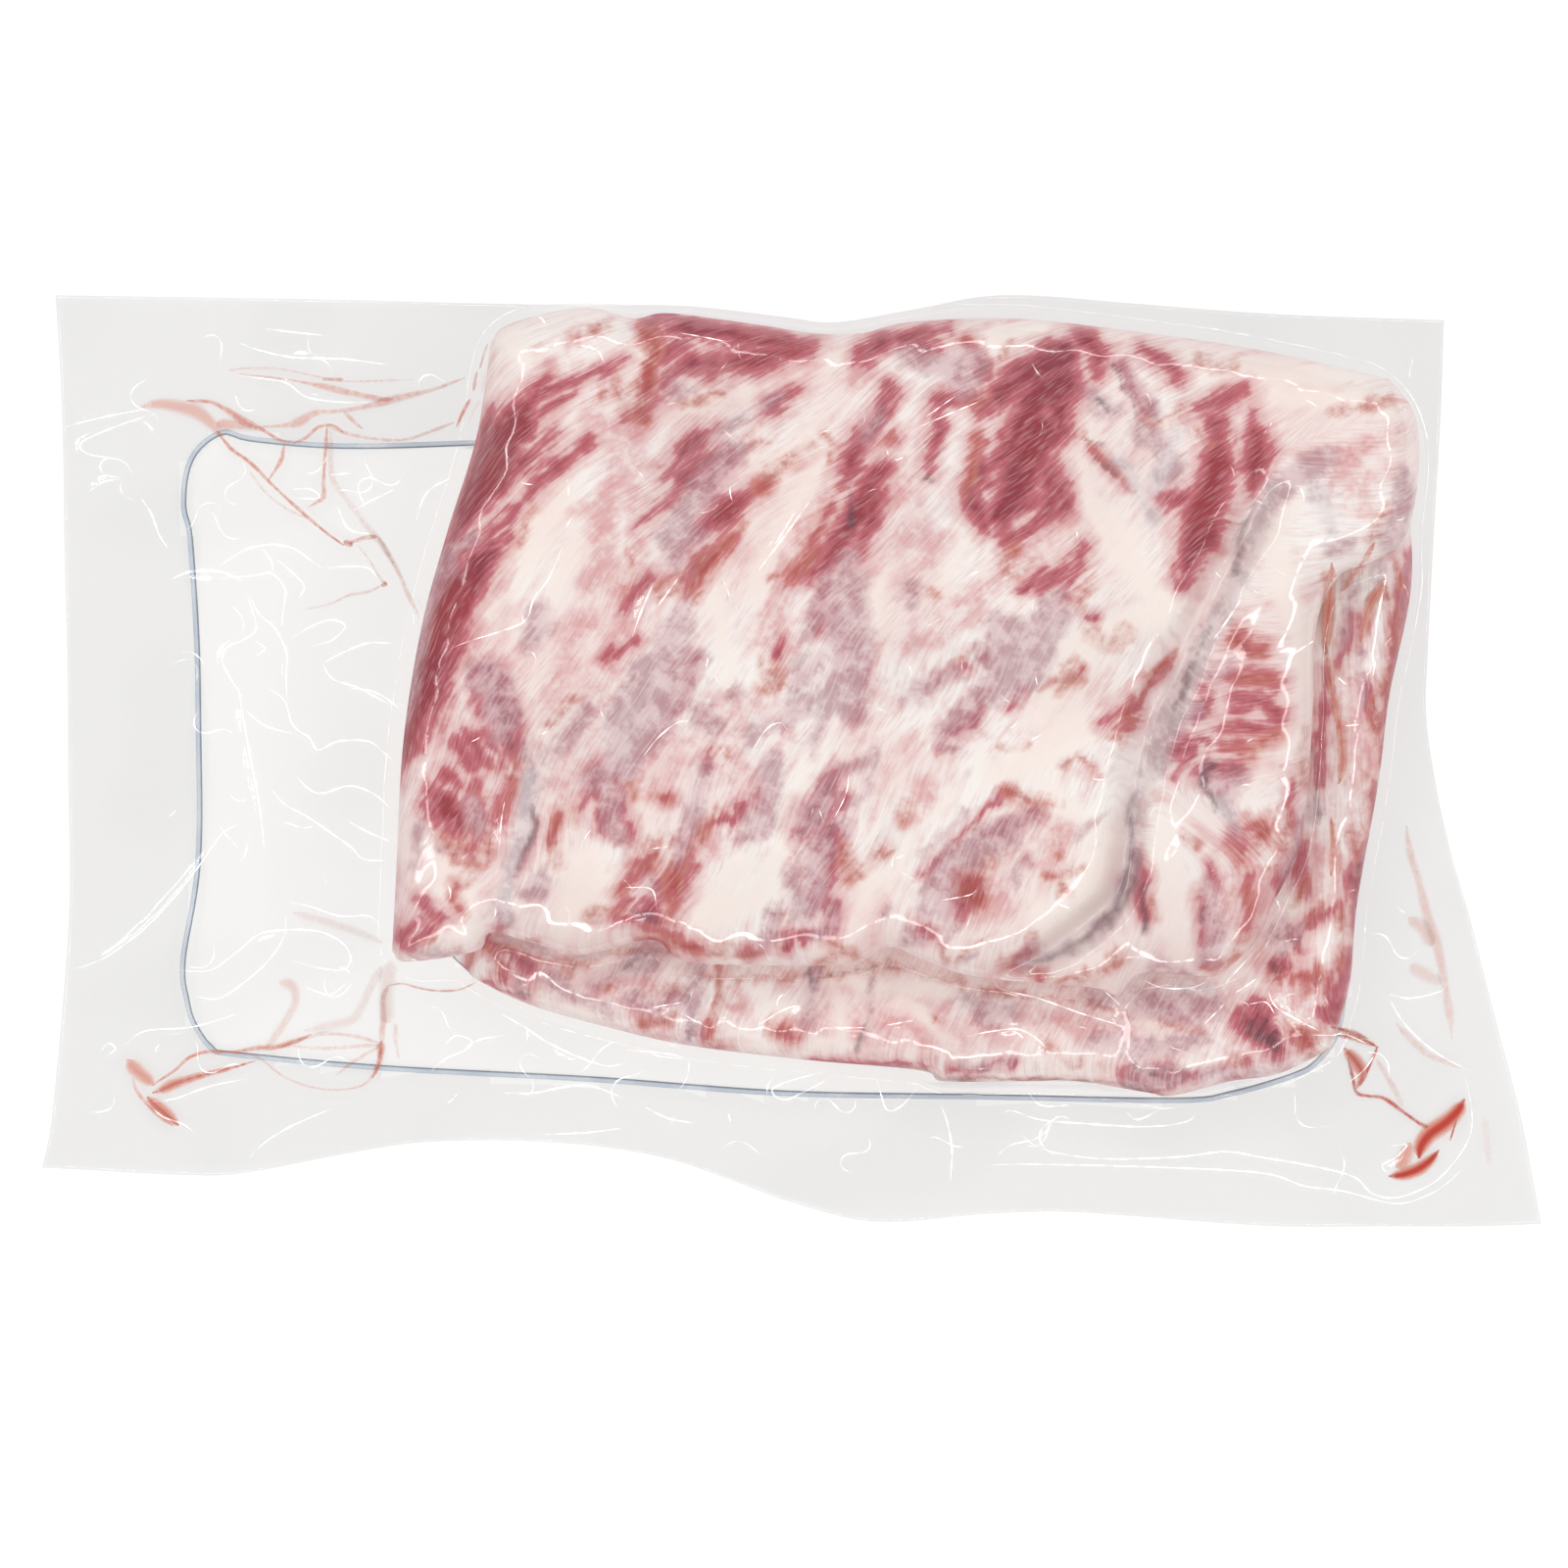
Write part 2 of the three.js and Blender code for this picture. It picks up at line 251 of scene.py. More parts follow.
def hangLights():        # a ring of long softboxes under an even white sky
    world = bpy.data.worlds.new("whiteRoom")
    world.use_nodes = True
    world.node_tree.nodes["Background"].inputs["Color"].default_value = (1, 1, 1, 1)
    world.node_tree.nodes["Background"].inputs["Strength"].default_value = studio["skyStrength"]
    bpy.context.scene.world = world
    for i in range(studio["lampCount"]):
        turn = i * 2 * np.pi / studio["lampCount"]
        data = bpy.data.lights.new("softbox" + str(i), "AREA")
        data.shape = "RECTANGLE"
        data.size, data.size_y = studio["lampWidth"] * mm, studio["lampSpan"] * mm
        data.energy = studio["ringPower"] / studio["lampCount"]
        lamp = bpy.data.objects.new("softbox" + str(i), data)
        reach = studio["lampReach"] * mm
        lamp.location = (reach * np.cos(turn), reach * np.sin(turn), studio["lampHeight"] * mm)
        lean = np.arctan2(studio["lampReach"], studio["lampHeight"])
        lamp.rotation_euler = (0, lean, turn)
        bpy.context.scene.collection.objects.link(lamp)


bpy.context.scene.view_settings.view_transform = "Standard"
placeCamera()
layFloor()
hangLights()
print("camera, floor and lights are placed")


# the rack of ribs, folded in two

rack = {
    "lowerTop": 23, "lowerWide": 12, "lowerBase": 0.8, "lowerRim": 12,
    "upperTop": 46, "upperWide": 33, "upperBase": 23, "upperRim": 13,
    "frontDrop": 5, "frontFrom": 10, "frontRun": 70, "flapDrop": 4, "flapStart": 92, "flapSlant": 0.36,
    "flapRun": 16, "flapBack": 70, "flapFade": 30,
    "grooveDepth": 9, "grooveHalf": 5.5, "grooveBack": 88, "grooveFade": 30,
    "ribHollow": 1.8, "ribHalf": 6, "swell": 0.9, "ribPitch": 30, "ribsAlong": (0.83, 0.56),
    "upperRipple": (0.35, 16), "lowerRipple": (0.3, 14), "meshStep": 0.85, "wallRings": 9, "tuck": 0.45,
}
upperSides = {
    "front": [(-109, -52), (-105, -55), (-86, -52), (-82, -47), (-70, -50), (-57, -53), (-38, -49),
              (-28, -55), (6, -56), (18, -55), (27, -51), (35, -54), (50, -59), (82, -62), (89, -64),
              (96, -58), (114, -59), (119, -57)],
    "right": [(119, -57), (127, -49), (132, -38), (139, -22), (142, 9), (143, 36), (149, 50), (158, 54),
              (167, 60), (171, 78), (170, 94), (163, 104)],
    "back": [(-82, 114), (-77, 119), (-57, 123.5), (-43, 120.5), (-34, 122), (-10, 119), (6, 116.5),
             (19, 116.5), (32, 119.5), (61, 120.5), (93, 117), (127, 112), (163, 104)],
    "left": [(-109, -52), (-108, -33), (-106, 4), (-101, 36), (-94, 62), (-86, 88), (-82, 114)],
}
lowerSides = {
    "front": [(-90, -58), (-87, -61), (-72, -68), (-51, -74), (-29, -79), (3, -83), (36, -86), (42, -89),
              (65, -89), (79, -89), (98, -92), (106, -93), (122, -89), (135, -87), (150, -80)],
    "right": [(150, -80), (155, -62), (157, -40), (163, -6), (166, 18), (172, 48), (171, 75), (166, 95)],
    "back": [(-78, 104), (-60, 115), (0, 111), (60, 113), (120, 105), (166, 95)],
    "left": [(-90, -58), (-100, -46), (-103, -20), (-101, 20), (-90, 62), (-78, 104)],
}
groove = [(133, 84), (127, 72), (121, 59), (109, 35), (103, 22), (97, 9), (92, -17), (88, -37), (72, -51),
          (60, -58)]
ribHollows = [-73, -23, 6, 27, 65, 96]


def loopOf(sides, count=90):        # the four sides as one anticlockwise loop
    front, right, back, left = (curveThrough(sides[k], count) for k in ("front", "right", "back", "left"))
    return np.concatenate([front[:-1], right[:-1], back[:0:-1], left[:0:-1]])


def patchGrid(sides, across, along, fine=600):
    # Coons patch: each point is the sum of the blends of facing sides, less the blend of the corners
    def at(name, share):
        line = curveThrough(sides[name], fine)
        return np.stack([np.interp(share, np.linspace(0, 1, fine), line[:, i]) for i in (0, 1)])
    u, v = np.meshgrid(across, along)
    front, back = at("front", across)[:, None, :], at("back", across)[:, None, :]
    left, right = at("left", along)[:, :, None], at("right", along)[:, :, None]
    corners = ((1 - u) * (1 - v) * front[:, :, :1] + u * (1 - v) * front[:, :, -1:]
               + (1 - u) * v * back[:, :, :1] + u * v * back[:, :, -1:])
    return (1 - v) * front + v * back + (1 - u) * left + u * right - corners


def rimSpaced(length, rim, step, turns=18):        # shares from 0 to 1, close together at both rims
    edge = rim * (1 - np.cos(np.linspace(0, np.pi / 2, turns + 1)))
    middle = np.linspace(rim, length - rim, int((length - 2 * rim) / step) + 1)
    return np.concatenate([edge[:-1], middle, length - edge[-2::-1]]) / length


upperLoop, lowerLoop = loopOf(upperSides), loopOf(lowerSides)
grooveLine = curveThrough(groove, 60)


def grooveCut(x, y):        # bell-shaped cut either side of the groove line, fading in at its back end
    fade = smooth((rack["grooveBack"] - y) / rack["grooveFade"])
    return rack["grooveDepth"] * fade * np.exp(-(distanceTo(grooveLine, x, y) / rack["grooveHalf"]) ** 2)


def upperTopAt(x, y):
    # level, falling to the front and on the flap, with two slow swells, the groove and a ripple
    onFlap = smooth((x - rack["flapStart"] - (y + 20) * rack["flapSlant"]) / rack["flapRun"])
    onFlap = onFlap * smooth((rack["flapBack"] - y) / rack["flapFade"])
    overRibs = np.sin((x * rack["ribsAlong"][0] - y * rack["ribsAlong"][1]) * np.pi / rack["ribPitch"])
    swell = rack["swell"] * (overRibs + np.sin((x + 2 * y) / (2 * rack["ribPitch"]) + 1))
    drop = rack["frontDrop"] * smooth((rack["frontFrom"] - y) / rack["frontRun"]) + rack["flapDrop"] * onFlap
    ripple, pitch = rack["upperRipple"]
    return rack["upperTop"] - drop + swell - grooveCut(x, y) + ripple * waves(x, y, 3, pitch)


def lowerTopAt(x, y):
    hollow = sum(np.exp(-((x - at) / rack["ribHalf"]) ** 2) for at in ribHollows)
    ripple, pitch = rack["lowerRipple"]
    onLedge = smooth((-40 - y) / 20)
    return rack["lowerTop"] - rack["ribHollow"] * hollow * onLedge + ripple * waves(x, y, 4, pitch)


def shoulder(depth, top, wide, rim):        # quarter ellipse from the widest line up to the top
    t = np.clip(1 - depth / rim, 0, 1)
    return wide + (top - wide) * np.sqrt(1 - t * t)


def makeSlab(name, sides, loop, topAt, size, finish, paint):
    # top: the patch lifted by the shoulder; below the widest line: rings that draw in, closed by a fan
    top, wide, base, rim = size
    spans = [np.hypot(*np.diff(curveThrough(sides[k], 60), axis=0).T).sum() for k in ("front", "left")]
    across, along = (rimSpaced(span, rim, rack["meshStep"]) for span in spans)
    x, y = patchGrid(sides, across, along)
    depth = np.maximum(depthIn(loop, x, y), 0)
    depth[[0, -1], :] = 0
    depth[:, [0, -1]] = 0
    z = shoulder(depth, topAt(x, y), wide, rim)
    index = np.arange(x.size).reshape(x.shape)
    points = [np.stack([x, y, z], axis=-1).reshape(-1, 3)]
    rimIndex = np.concatenate([index[0, :-1], index[:-1, -1], index[-1, :0:-1], index[:0:-1, 0]])
    rimPoints = points[0][rimIndex]
    run = np.roll(rimPoints, -2, axis=0) - np.roll(rimPoints, 2, axis=0)
    inward = np.stack([-run[:, 1], run[:, 0]], axis=1)
    inward = inward / np.maximum(np.hypot(run[:, 0], run[:, 1]), 1e-6)[:, None]
    faces = [gridFaces(index)]
    last, start = rimIndex, x.size
    for turn in np.linspace(0, np.pi / 2, rack["wallRings"])[1:]:
        ring = rimPoints.copy()
        ring[:, :2] += inward * (wide - base) * rack["tuck"] * (1 - np.cos(turn))
        ring[:, 2] = wide - (wide - base) * np.sin(turn)
        new = start + np.arange(len(ring))
        faces.append(np.stack([last, new, np.roll(new, -1), np.roll(last, -1)], axis=1))
        points.append(ring)
        last, start = new, start + len(ring)
    points.append([[*rimPoints[:, :2].mean(axis=0), base]])
    faces.append(np.stack([last, np.full(len(last), start), np.roll(last, -1)], axis=1))
    everything = np.concatenate(points)
    values, grain = paint(everything[:, 0], everything[:, 1], everything[:, 2])
    makePiece(name, everything, faces, finish, values, grain)


# what the meat shows from above: groups of one kind, each chain a swept disc (x, y, radius)
# besides the meat's own colours, some chains are painted light: deep purple-grey and brown ones shade the
# groove, the rib hollows and the foot of the upper half's front edge, and pale grey-white ones are a painted
# sheen of the film
upperPatches = [
    ("lean", [[(-66, 103, 1), (-69, 99, 2), (-77, 87, 7.5), (-86, 69, 6.5), (-91, 60, 3)], [(-44, 108, 0.5),
        (-67, 99, 1.5)], [(-59, 99, 1), (-71, 91, 1)], [(-54, 86, 1.5), (-67, 76, 2), (-71, 71, 1.5)],
        [(-64, 89, 1), (-73, 81, 2.5)], [(-66, 80, 1.5), (-71, 77, 1.5)], [(-74, 68, 1), (-80, 62, 1.5),
        (-91, 54, 1.5)], [(-91, 32, 2), (-96, 12, 2.5)], [(-82, 23, 4), (-80, 16, 5), (-76, 3, 2.5),
        (-74, -1, 1)], [(-85, 19, 1.5), (-85, 16, 1)], [(-75, 12, 2), (-74, 6, 1.5), (-75, 1, 1.5)],
        [(-89, 8, 1), (-85, 5, 2), (-84, 0, 2), (-80, -2, 1.5)], [(-91, 5, 2), (-87, -1, 2)], [(-82, 7, 1.5),
        (-78, -2, 1)], [(-93, -4, 2), (-91, -6, 1.5)], [(-96, -8, 2), (-93, -13, 3.5), (-90, -18, 3)],
        [(-99, -12, 1.5), (-96, -16, 1.5)], [(-76, -6, 1), (-80, -17, 1.5)], [(-42, 32, 1), (-47, 28, 1)],
        [(-48, 30, 1), (-50, 27, 1)], [(-52, -1, 1.5), (-54, -4, 1)], [(-33, 117, 2), (-29, 117, 3.5),
        (-2, 113, 3), (6, 113, 1.5)], [(-25, 104, 1), (-18, 105, 1.5), (-10, 105, 1)], [(2, 100, 1),
        (-6, 95, 2)], [(25, 114, 3), (20, 110, 2.5)], [(27, 100, 2), (16, 81, 2.5), (14, 74, 2)],
        [(24, 78, 3), (20, 71, 4), (9, 52, 2.5), (5, 50, 2)], [(23, 73, 2.5), (20, 60, 2.5), (17, 55, 2.5)],
        [(7, 57, 2), (3, 52, 2.5), (0, 49, 1.5)], [(30, 114, 2.5), (36, 116, 2.5), (42, 117, 1.5)],
        [(34, 112, 2), (40, 111, 1)], [(79, 114, 3.5), (83, 109, 3), (82, 105, 2)], [(73, 109, 5.5),
        (65, 105, 5), (60, 102, 3.5), (55, 97, 3.5), (51, 95, 2.5)], [(74, 102, 5), (67, 98, 5.5),
        (62, 91, 4), (59, 84, 3.5)], [(72, 95, 4), (73, 89, 3), (69, 85, 2.5), (64, 85, 2.5)], [(79, 58, 1),
        (75, 50, 1.5)], [(-25, 27, 0.5), (-29, 17, 1), (-31, 13, 0.5)], [(9, 46, 1.5), (7, 38, 1.5),
        (7, 35, 0.5)], [(-2, 33, 0.5), (-4, 28, 1)], [(-24, 13, 1), (-23, 11, 0.5)], [(-21, 4, 0.5),
        (-23, 0, 1), (-23, -2, 0.5)], [(-9, -8, 0.5), (-9, -10, 1.5), (-10, -12, 1)], [(-14, -12, 1),
        (-16, -17, 1), (-18, -15, 1), (-23, -18, 0.5)], [(77, 54, 1.5), (74, 51, 2.5), (67, 47, 1)],
        [(69, 52, 0.5), (62, 46, 1)], [(78, 53, 1), (74, 45, 1.5), (75, 43, 0.5)], [(82, 39, 1),
        (80, 39, 0.5)], [(95, 17, 1), (93, 14, 1)], [(58, -9, 1), (56, -11, 1)], [(54, -12, 0.5),
        (35, -31, 0.5)], [(102, 25, 1), (95, 18, 1)], [(93, 14, 1), (95, 16, 1)], [(120, 33, 2),
        (126, 30, 2), (128, 30, 1)], [(119, 33, 1), (122, 34, 1.5)], [(120, 21, 1), (130, 21, 0.5)],
        [(120, 18, 0.5), (131, 18, 0.5)], [(119, 14, 1), (131, 15, 0.5)], [(118, 9, 1), (121, 10, 1.5),
        (122, 9, 1)], [(111, 16, 1), (113, 16, 1), (109, 10, 0.5)], [(113, 17, 1), (114, 18, 0.5)],
        [(105, 5, 0.5), (112, 6, 1), (113, 4, 1)], [(105, 1, 1.5), (107, 3, 2), (106, -1, 1), (105, -1, 1)],
        [(109, 3, 1), (103, -5, 0.5)], [(112, -3, 1.5), (114, -4, 1.5), (113, -1, 1.5)], [(117, -4, 2.5),
        (120, -3, 1.5)], [(120, -22, 1), (122, -24, 2), (122, -26, 1)], [(-98, -8, 1), (-95, -11, 3.5),
        (-92, -15, 4.5), (-90, -18, 2.5)], [(-69, -17, 1), (-75, -32, 1)], [(-77, -43, 1), (-80, -46, 1)],
        [(-91, -34, 1), (-92, -37, 0.5)], [(-90, -40, 1), (-90, -41, 1)], [(-100, -39, 1.5), (-97, -43, 1.5),
        (-95, -43, 1)], [(-101, -43, 2), (-106, -48, 1.5), (-105, -50, 1)], [(-95, -42, 1), (-93, -43, 0.5)],
        [(-98, -46, 1), (-103, -51, 1)], [(-63, -15, 1), (-66, -21, 1)], [(-53, -4, 1.5), (-57, -13, 1)],
        [(-48, -5, 1), (-44, -19, 0.5)], [(-51, -14, 1.5), (-50, -19, 1.5)], [(-39, -26, 1.5), (-44, -33, 2),
        (-46, -36, 1)], [(-42, -38, 1), (-48, -40, 0.5)], [(-39, -26, 1), (-42, -32, 2)], [(-27, -22, 1),
        (-30, -34, 2.5), (-33, -43, 1)], [(-34, -32, 1.5), (-35, -36, 2), (-36, -33, 1.5)], [(-26, -29, 1),
        (-27, -30, 1)], [(-39, -38, 2), (-37, -43, 2), (-40, -41, 2)], [(-2, -47, 0.5), (-1, -49, 1),
        (-2, -51, 1)], [(12, -4, 1), (7, -14, 4.5), (3, -19, 2.5)], [(14, -10, 1), (13, -12, 1.5)],
        [(11, -18, 2.5), (10, -31, 2)], [(11, -25, 2.5), (9, -34, 2)], [(8, -38, 1.5), (6, -36, 1)],
        [(10, -45, 1.5), (10, -49, 0.5)], [(1, -47, 1), (5, -47, 1), (3, -50, 0.5)], [(66, -14, 1),
        (56, -20, 1.5), (52, -20, 1)], [(47, -34, 3.5), (48, -37, 4.5), (46, -40, 3)], [(44, -32, 1.5),
        (45, -42, 1.5)], [(34, -44, 0.5), (35, -46, 1.5), (38, -47, 1.5)], [(41, -50, 0.5)], [(62, -28, 0.5),
        (64, -27, 1), (66, -28, 0.5)], [(64, -52, 1), (61, -56, 1)], [(68, -59, 1)], [(114, -56, 1),
        (112, -56, 0.5)], [(-29, 114, 2.5), (-35, 108, 2)], [(-37, 121, 2), (6, 113, 1)], [(11, 69, 1),
        (6, 58, 1.5)], [(22, 113, 2), (19, 108, 1.5)], [(28, 87, 1.5), (26, 86, 1)], [(81, 84, 1),
        (91, 74, 1)], [(116, 23, 1.5), (126, 23, 2), (131, 21, 2)], [(111, 17, 1.5), (112, 14, 2)],
        [(120, 17, 2), (128, 16, 2), (132, 12, 2)], [(116, 9, 2), (130, 8, 1.5)], [(116, 4, 1.5),
        (122, 4, 2)], [(104, 3, 2.5), (107, 6, 2)], [(-85, -7, 2), (-86, -13, 2.5), (-85, -20, 2),
        (-87, -25, 1.5)], [(-53, -2, 1.5), (-54, -6, 1.5), (-52, -10, 1.5)], [(-48, -10, 1.5),
        (-44, -20, 1.5)], [(-35, -10, 1.5), (-33, -10, 1)], [(-40, -45, 1.5), (-31, -48, 1.5)],
        [(-48, -42, 1), (-43, -43, 1)], [(8, -33, 2), (11, -45, 1.5)], [(-28, -50, 1.5), (-25, -52, 1.5)],
        [(-38, -50, 1), (-34, -51, 1)], [(-12, -52, 1), (-9, -52, 1)], [(89, 107, 1), (96, 94, 1)],
        [(95, 111, 1.5), (102, 106, 2), (104, 104, 1.5)], [(101, 70, 1.5), (105, 71, 2.5)], [(125, 94, 1),
        (126, 83, 4), (125, 78, 3.5), (124, 73, 1.5)]]),
    # brown of blood; the chains along the front wall, near y -50 to -60, add a painted shadow line at the
    # upper half's front edge
    ("rustAndShade", [[(-81, -2, 2), (-76, -6, 1.5), (-75, 0, 1)], [(-58, 17, 1), (-66, 9, 1)], [(-43, 22, 1),
        (-46, 20, 1.5), (-48, 17, 1)], [(-11, 85, 1.5), (-5, 87, 1)], [(8, 88, 1.5), (10, 86, 1)],
        [(5, 85, 1.5), (-6, 77, 2.5), (-9, 73, 1.5)], [(10, 82, 1)], [(13, 73, 1.5), (9, 66, 2.5),
        (0, 49, 1.5)], [(28, 87, 1.5), (24, 85, 1)], [(57, 108, 1), (59, 113, 1)], [(51, 98, 2.5),
        (47, 97, 1.5)], [(161, 68, 1), (156, 60, 1.5)], [(-24, 45, 0.5), (-26, 43, 1)], [(-31, 46, 1),
        (-36, 43, 1)], [(-8, 27, 1), (-9, 26, 1)], [(-8, 24, 0.5), (-5, 23, 2.5), (-7, 19, 2), (-4, 20, 2)],
        [(-6, 49, 1), (-3, 50, 1)], [(-17, 3, 1), (-19, -2, 1)], [(-20, -12, 0.5), (-26, -24, 1)],
        [(67, 54, 1), (60, 50, 1)], [(59, 55, 1), (57, 52, 1)], [(81, 49, 1), (77, 42, 1.5)], [(90, 35, 1),
        (87, 33, 1.5), (85, 31, 1), (83, 34, 1)], [(40, 2, 0.5)], [(58, -8, 2), (61, -10, 2),
        (73, -12, 0.5)], [(31, -12, 1.5), (30, -16, 1)], [(104, 29, 1), (96, 22, 1)], [(98, 23, 1.5),
        (95, 19, 1.5)], [(120, 33, 2.5), (124, 30, 3), (128, 30, 2)], [(120, 22, 1.5), (131, 22, 1.5)],
        [(118, 7, 1), (121, 7, 1)], [(116, 5, 1), (125, 4, 1), (132, 7, 1.5)], [(117, 3, 1), (125, 1, 1)],
        [(124, -14, 1), (125, -17, 1.5), (128, -18, 1.5)], [(119, -24, 1.5), (122, -27, 2)],
        [(-85, -10, 1.5), (-86, -19, 1.5), (-89, -21, 1.5)], [(-94, -21, 1.5), (-91, -26, 2),
        (-87, -27, 1.5), (-85, -24, 1)], [(-76, -8, 1), (-79, -14, 1), (-82, -28, 1)], [(-91, -33, 1),
        (-92, -37, 1), (-89, -42, 1.5)], [(-88, -32, 1), (-81, -20, 1)], [(-95, -46, 0.5), (-97, -49, 0.5),
        (-100, -50, 0.5)], [(-60, -10, 1), (-65, -20, 2), (-64, -24, 2), (-63, -28, 1.5)], [(-59, -14, 1.5),
        (-58, -17, 1)], [(-44, -6, 1.5), (-43, -10, 1)], [(-48, -20, 2), (-42, -25, 0.5)], [(-38, -23, 2),
        (-45, -34, 2), (-48, -36, 1)], [(-44, -40, 1), (-57, -43, 0.5)], [(-69, -49, 1), (-72, -49, 1)],
        [(-36, -20, 1), (-40, -30, 2.5)], [(-31, -21, 1.5), (-31, -28, 3), (-33, -40, 2.5), (-34, -44, 1)],
        [(-25, -18, 1), (-27, -24, 1.5)], [(-40, -45, 0.5), (-31, -48, 1)], [(-26, -49, 1), (-27, -54, 0.5)],
        [(-39, -51, 1), (-36, -50, 1.5), (-31, -53, 1)], [(-12, -52, 1.5), (-9, -53, 1)], [(14, -24, 2.5),
        (15, -29, 1.5)], [(13, -51, 1.5), (16, -52, 1), (7, -55, 1.5)], [(28, -24, 1), (18, -32, 1)],
        [(54, -25, 2), (51, -28, 2), (57, -26, 1.5)], [(50, -32, 2.5), (52, -35, 3), (51, -39, 2.5),
        (48, -34, 5)], [(41, -50, 1), (43, -55, 1)], [(47, -51, 1), (55, -47, 0.5)], [(46, -53, 1),
        (45, -55, 0.5)], [(71, -24, 1), (72, -26, 1)], [(69, -31, 1), (73, -31, 1), (79, -29, 1)],
        [(73, -34, 1), (75, -36, 1), (73, -36, 1)], [(65, -48, 1.5), (65, -51, 1)], [(56, -55, 1),
        (69, -58, 1.5)], [(87, -53, 2), (89, -55, 2), (92, -53, 1.5), (88, -51, 1.5)], [(80, -60, 1),
        (76, -59, 1), (83, -60, 1), (79, -57, 1)], [(110, 108, 1.5), (114, 106, 1.5)], [(-90, -24, 2.5),
        (-86, -28, 2), (-88, -32, 1.5)], [(-35, -10, 2.5)], [(-55, -43, 1.5), (-51, -41, 1.5)],
        [(-3, -42, 2.5), (-5, -47, 2)], [(24, -24, 1.5), (16, -33, 1)], [(-42, -49, 1.5), (-26, -51, 2.5),
        (-9, -53, 1.5)], [(11, -51, 2), (16, -53, 1.5)], [(61, -53, 1.5), (64, -55, 1.5)], [(73, -60, 1.5),
        (83, -59, 1.5), (91, -53, 1.5)]]),
    ("darkAndShade", [[(16, 74, 0.5), (16, 62, 1)], [(-69, -12, 0.5), (-69, -17, 1), (-75, -32, 0.5)],
        [(-104, -53, 0.5), (-99, -55, 0.5)], [(-42, -41, 1), (-39, -43, 1), (-36, -44, 0.5)]]),
    ("fat", [[(-62, 91, 0.5), (-72, 84, 1)], [(-69, 78, 0.5), (-83, 64, 1.5), (-87, 61, 1)], [(56, 94, 1),
        (54, 89, 1.5), (53, 86, 1)], [(69, 34, 1), (67, 31, 1)], [(117, -25, 1), (119, -29, 1.5),
        (121, -31, 1.5)]]),
    ("lean", [[(-38, 118, 2.5), (-37, 114, 2)], [(-37, 105, 1.5), (-39, 99, 1.5)], [(-80, 56, 2.5),
        (-85, 51, 5.5), (-90, 46, 6.5), (-98, 29, 6.5), (-103, 9, 5.5), (-108, -5, 1.5)], [(40, 97, 2),
        (47, 98, 2)], [(39, 93, 2), (40, 90, 2.5), (37, 79, 1)], [(51, 79, 3), (48, 73, 3), (50, 68, 3.5),
        (52, 63, 2)], [(69, 71, 1.5), (59, 67, 3), (57, 61, 1.5)], [(67, 65, 1), (63, 62, 2), (58, 59, 1.5)],
        [(51, 13, 1), (40, 4, 0.5)], [(138, -23, 1), (132, -34, 1.5)], [(114, -28, 0.5), (115, -34, 1)],
        [(111, -37, 0.5), (113, -43, 1.5), (113, -46, 1)], [(111, -50, 0.5), (112, -47, 1)], [(94, -25, 1),
        (96, -33, 1)], [(96, -42, 1.5), (94, -33, 1.5)], [(67, 89, 6), (60, 73, 5.5), (56, 66, 3.5)],
        [(70, 79, 3), (71, 72, 2.5), (68, 65, 2)], [(-81, 93, 2.5), (-91, 66, 3), (-93, 58, 2.5),
        (-101, 23, 4), (-104, 9, 3.5)], [(-78, 81, 2), (-80, 76, 2)], [(-77, 60, 1.5), (-81, 58, 1.5)],
        [(110, -3, 1.5), (120, -2, 2)], [(124, -18, 1.5), (128, -19, 1.5)], [(124, -32, 1.5),
        (124, -46, 1)]]),
    ("rustAndShade", [[(-69, 68, 0.5), (-72, 62, 1.5), (-74, 58, 1.5)], [(-50, 118, 1), (-54, 116, 2),
        (-58, 114, 1)], [(-39, 115, 2.5), (-37, 109, 2.5), (-41, 95, 3)], [(-48, 100, 2), (-44, 95, 1.5),
        (-40, 93, 2.5)], [(-51, 98, 1.5)], [(50, 87, 1.5), (47, 73, 2)], [(124, -34, 1.5), (124, -47, 1)],
        [(130, -17, 1), (136, -12, 1.5), (133, -25, 2.5), (131, -29, 2)], [(140, 8, 1), (140, -6, 2)],
        [(106, -20, 1), (110, -23, 1.5)], [(98, -38, 1), (99, -43, 1)], [(114, -56, 1.5), (122, -54, 1.5)],
        [(130, -17, 1.5), (126, -23, 2)], [(122, -49, 1.5), (120, -53, 1.5)]]),
    # painted shade: the chains from (93, -10) and (95, -27) down to the front follow the groove's hollow
    ("darkAndShade", [[(36, 77, 1), (37, 76, 1)], [(142, -17, 0.5), (132, -36, 0.5)], [(112, -41, 1), (112, -44, 1)],
        [(96, -36, 0.5), (96, -45, 1)], [(93, -10, 0.5), (92, -14, 1), (93, -25, 1), (88, -41, 1.5),
        (79, -50, 0.5)], [(95, -27, 0.5), (93, -34, 1.5), (86, -45, 1), (73, -53, 1), (65, -55, 0.5)],
        [(96, -34, 1), (96, -46, 1)]]),
    ("fat", [[(-50, 70, 0.5), (-46, 78, 1)], [(49, 30, 1), (52, 32, 1.5), (55, 30, 1), (55, 26, 1),
        (51, 24, 1), (49, 26, 1)], [(56, 94, 0.5), (53, 86, 1)], [(92, 108, 0.5), (98, 98, 0.5)]]),
    ("lean", [[(-39, 49, 1.5), (-45, 41, 1.5)], [(-34, 101, 1.5), (-32, 105, 2), (-27, 107, 2.5),
        (-9, 108, 3.5), (-1, 110, 3), (5, 111, 1.5)], [(-21, 89, 1), (-25, 87, 3), (-29, 83, 3),
        (-35, 76, 1)], [(-20, 83, 2), (-30, 76, 2.5)], [(-27, 75, 2), (-42, 63, 0.5)], [(-17, 81, 2),
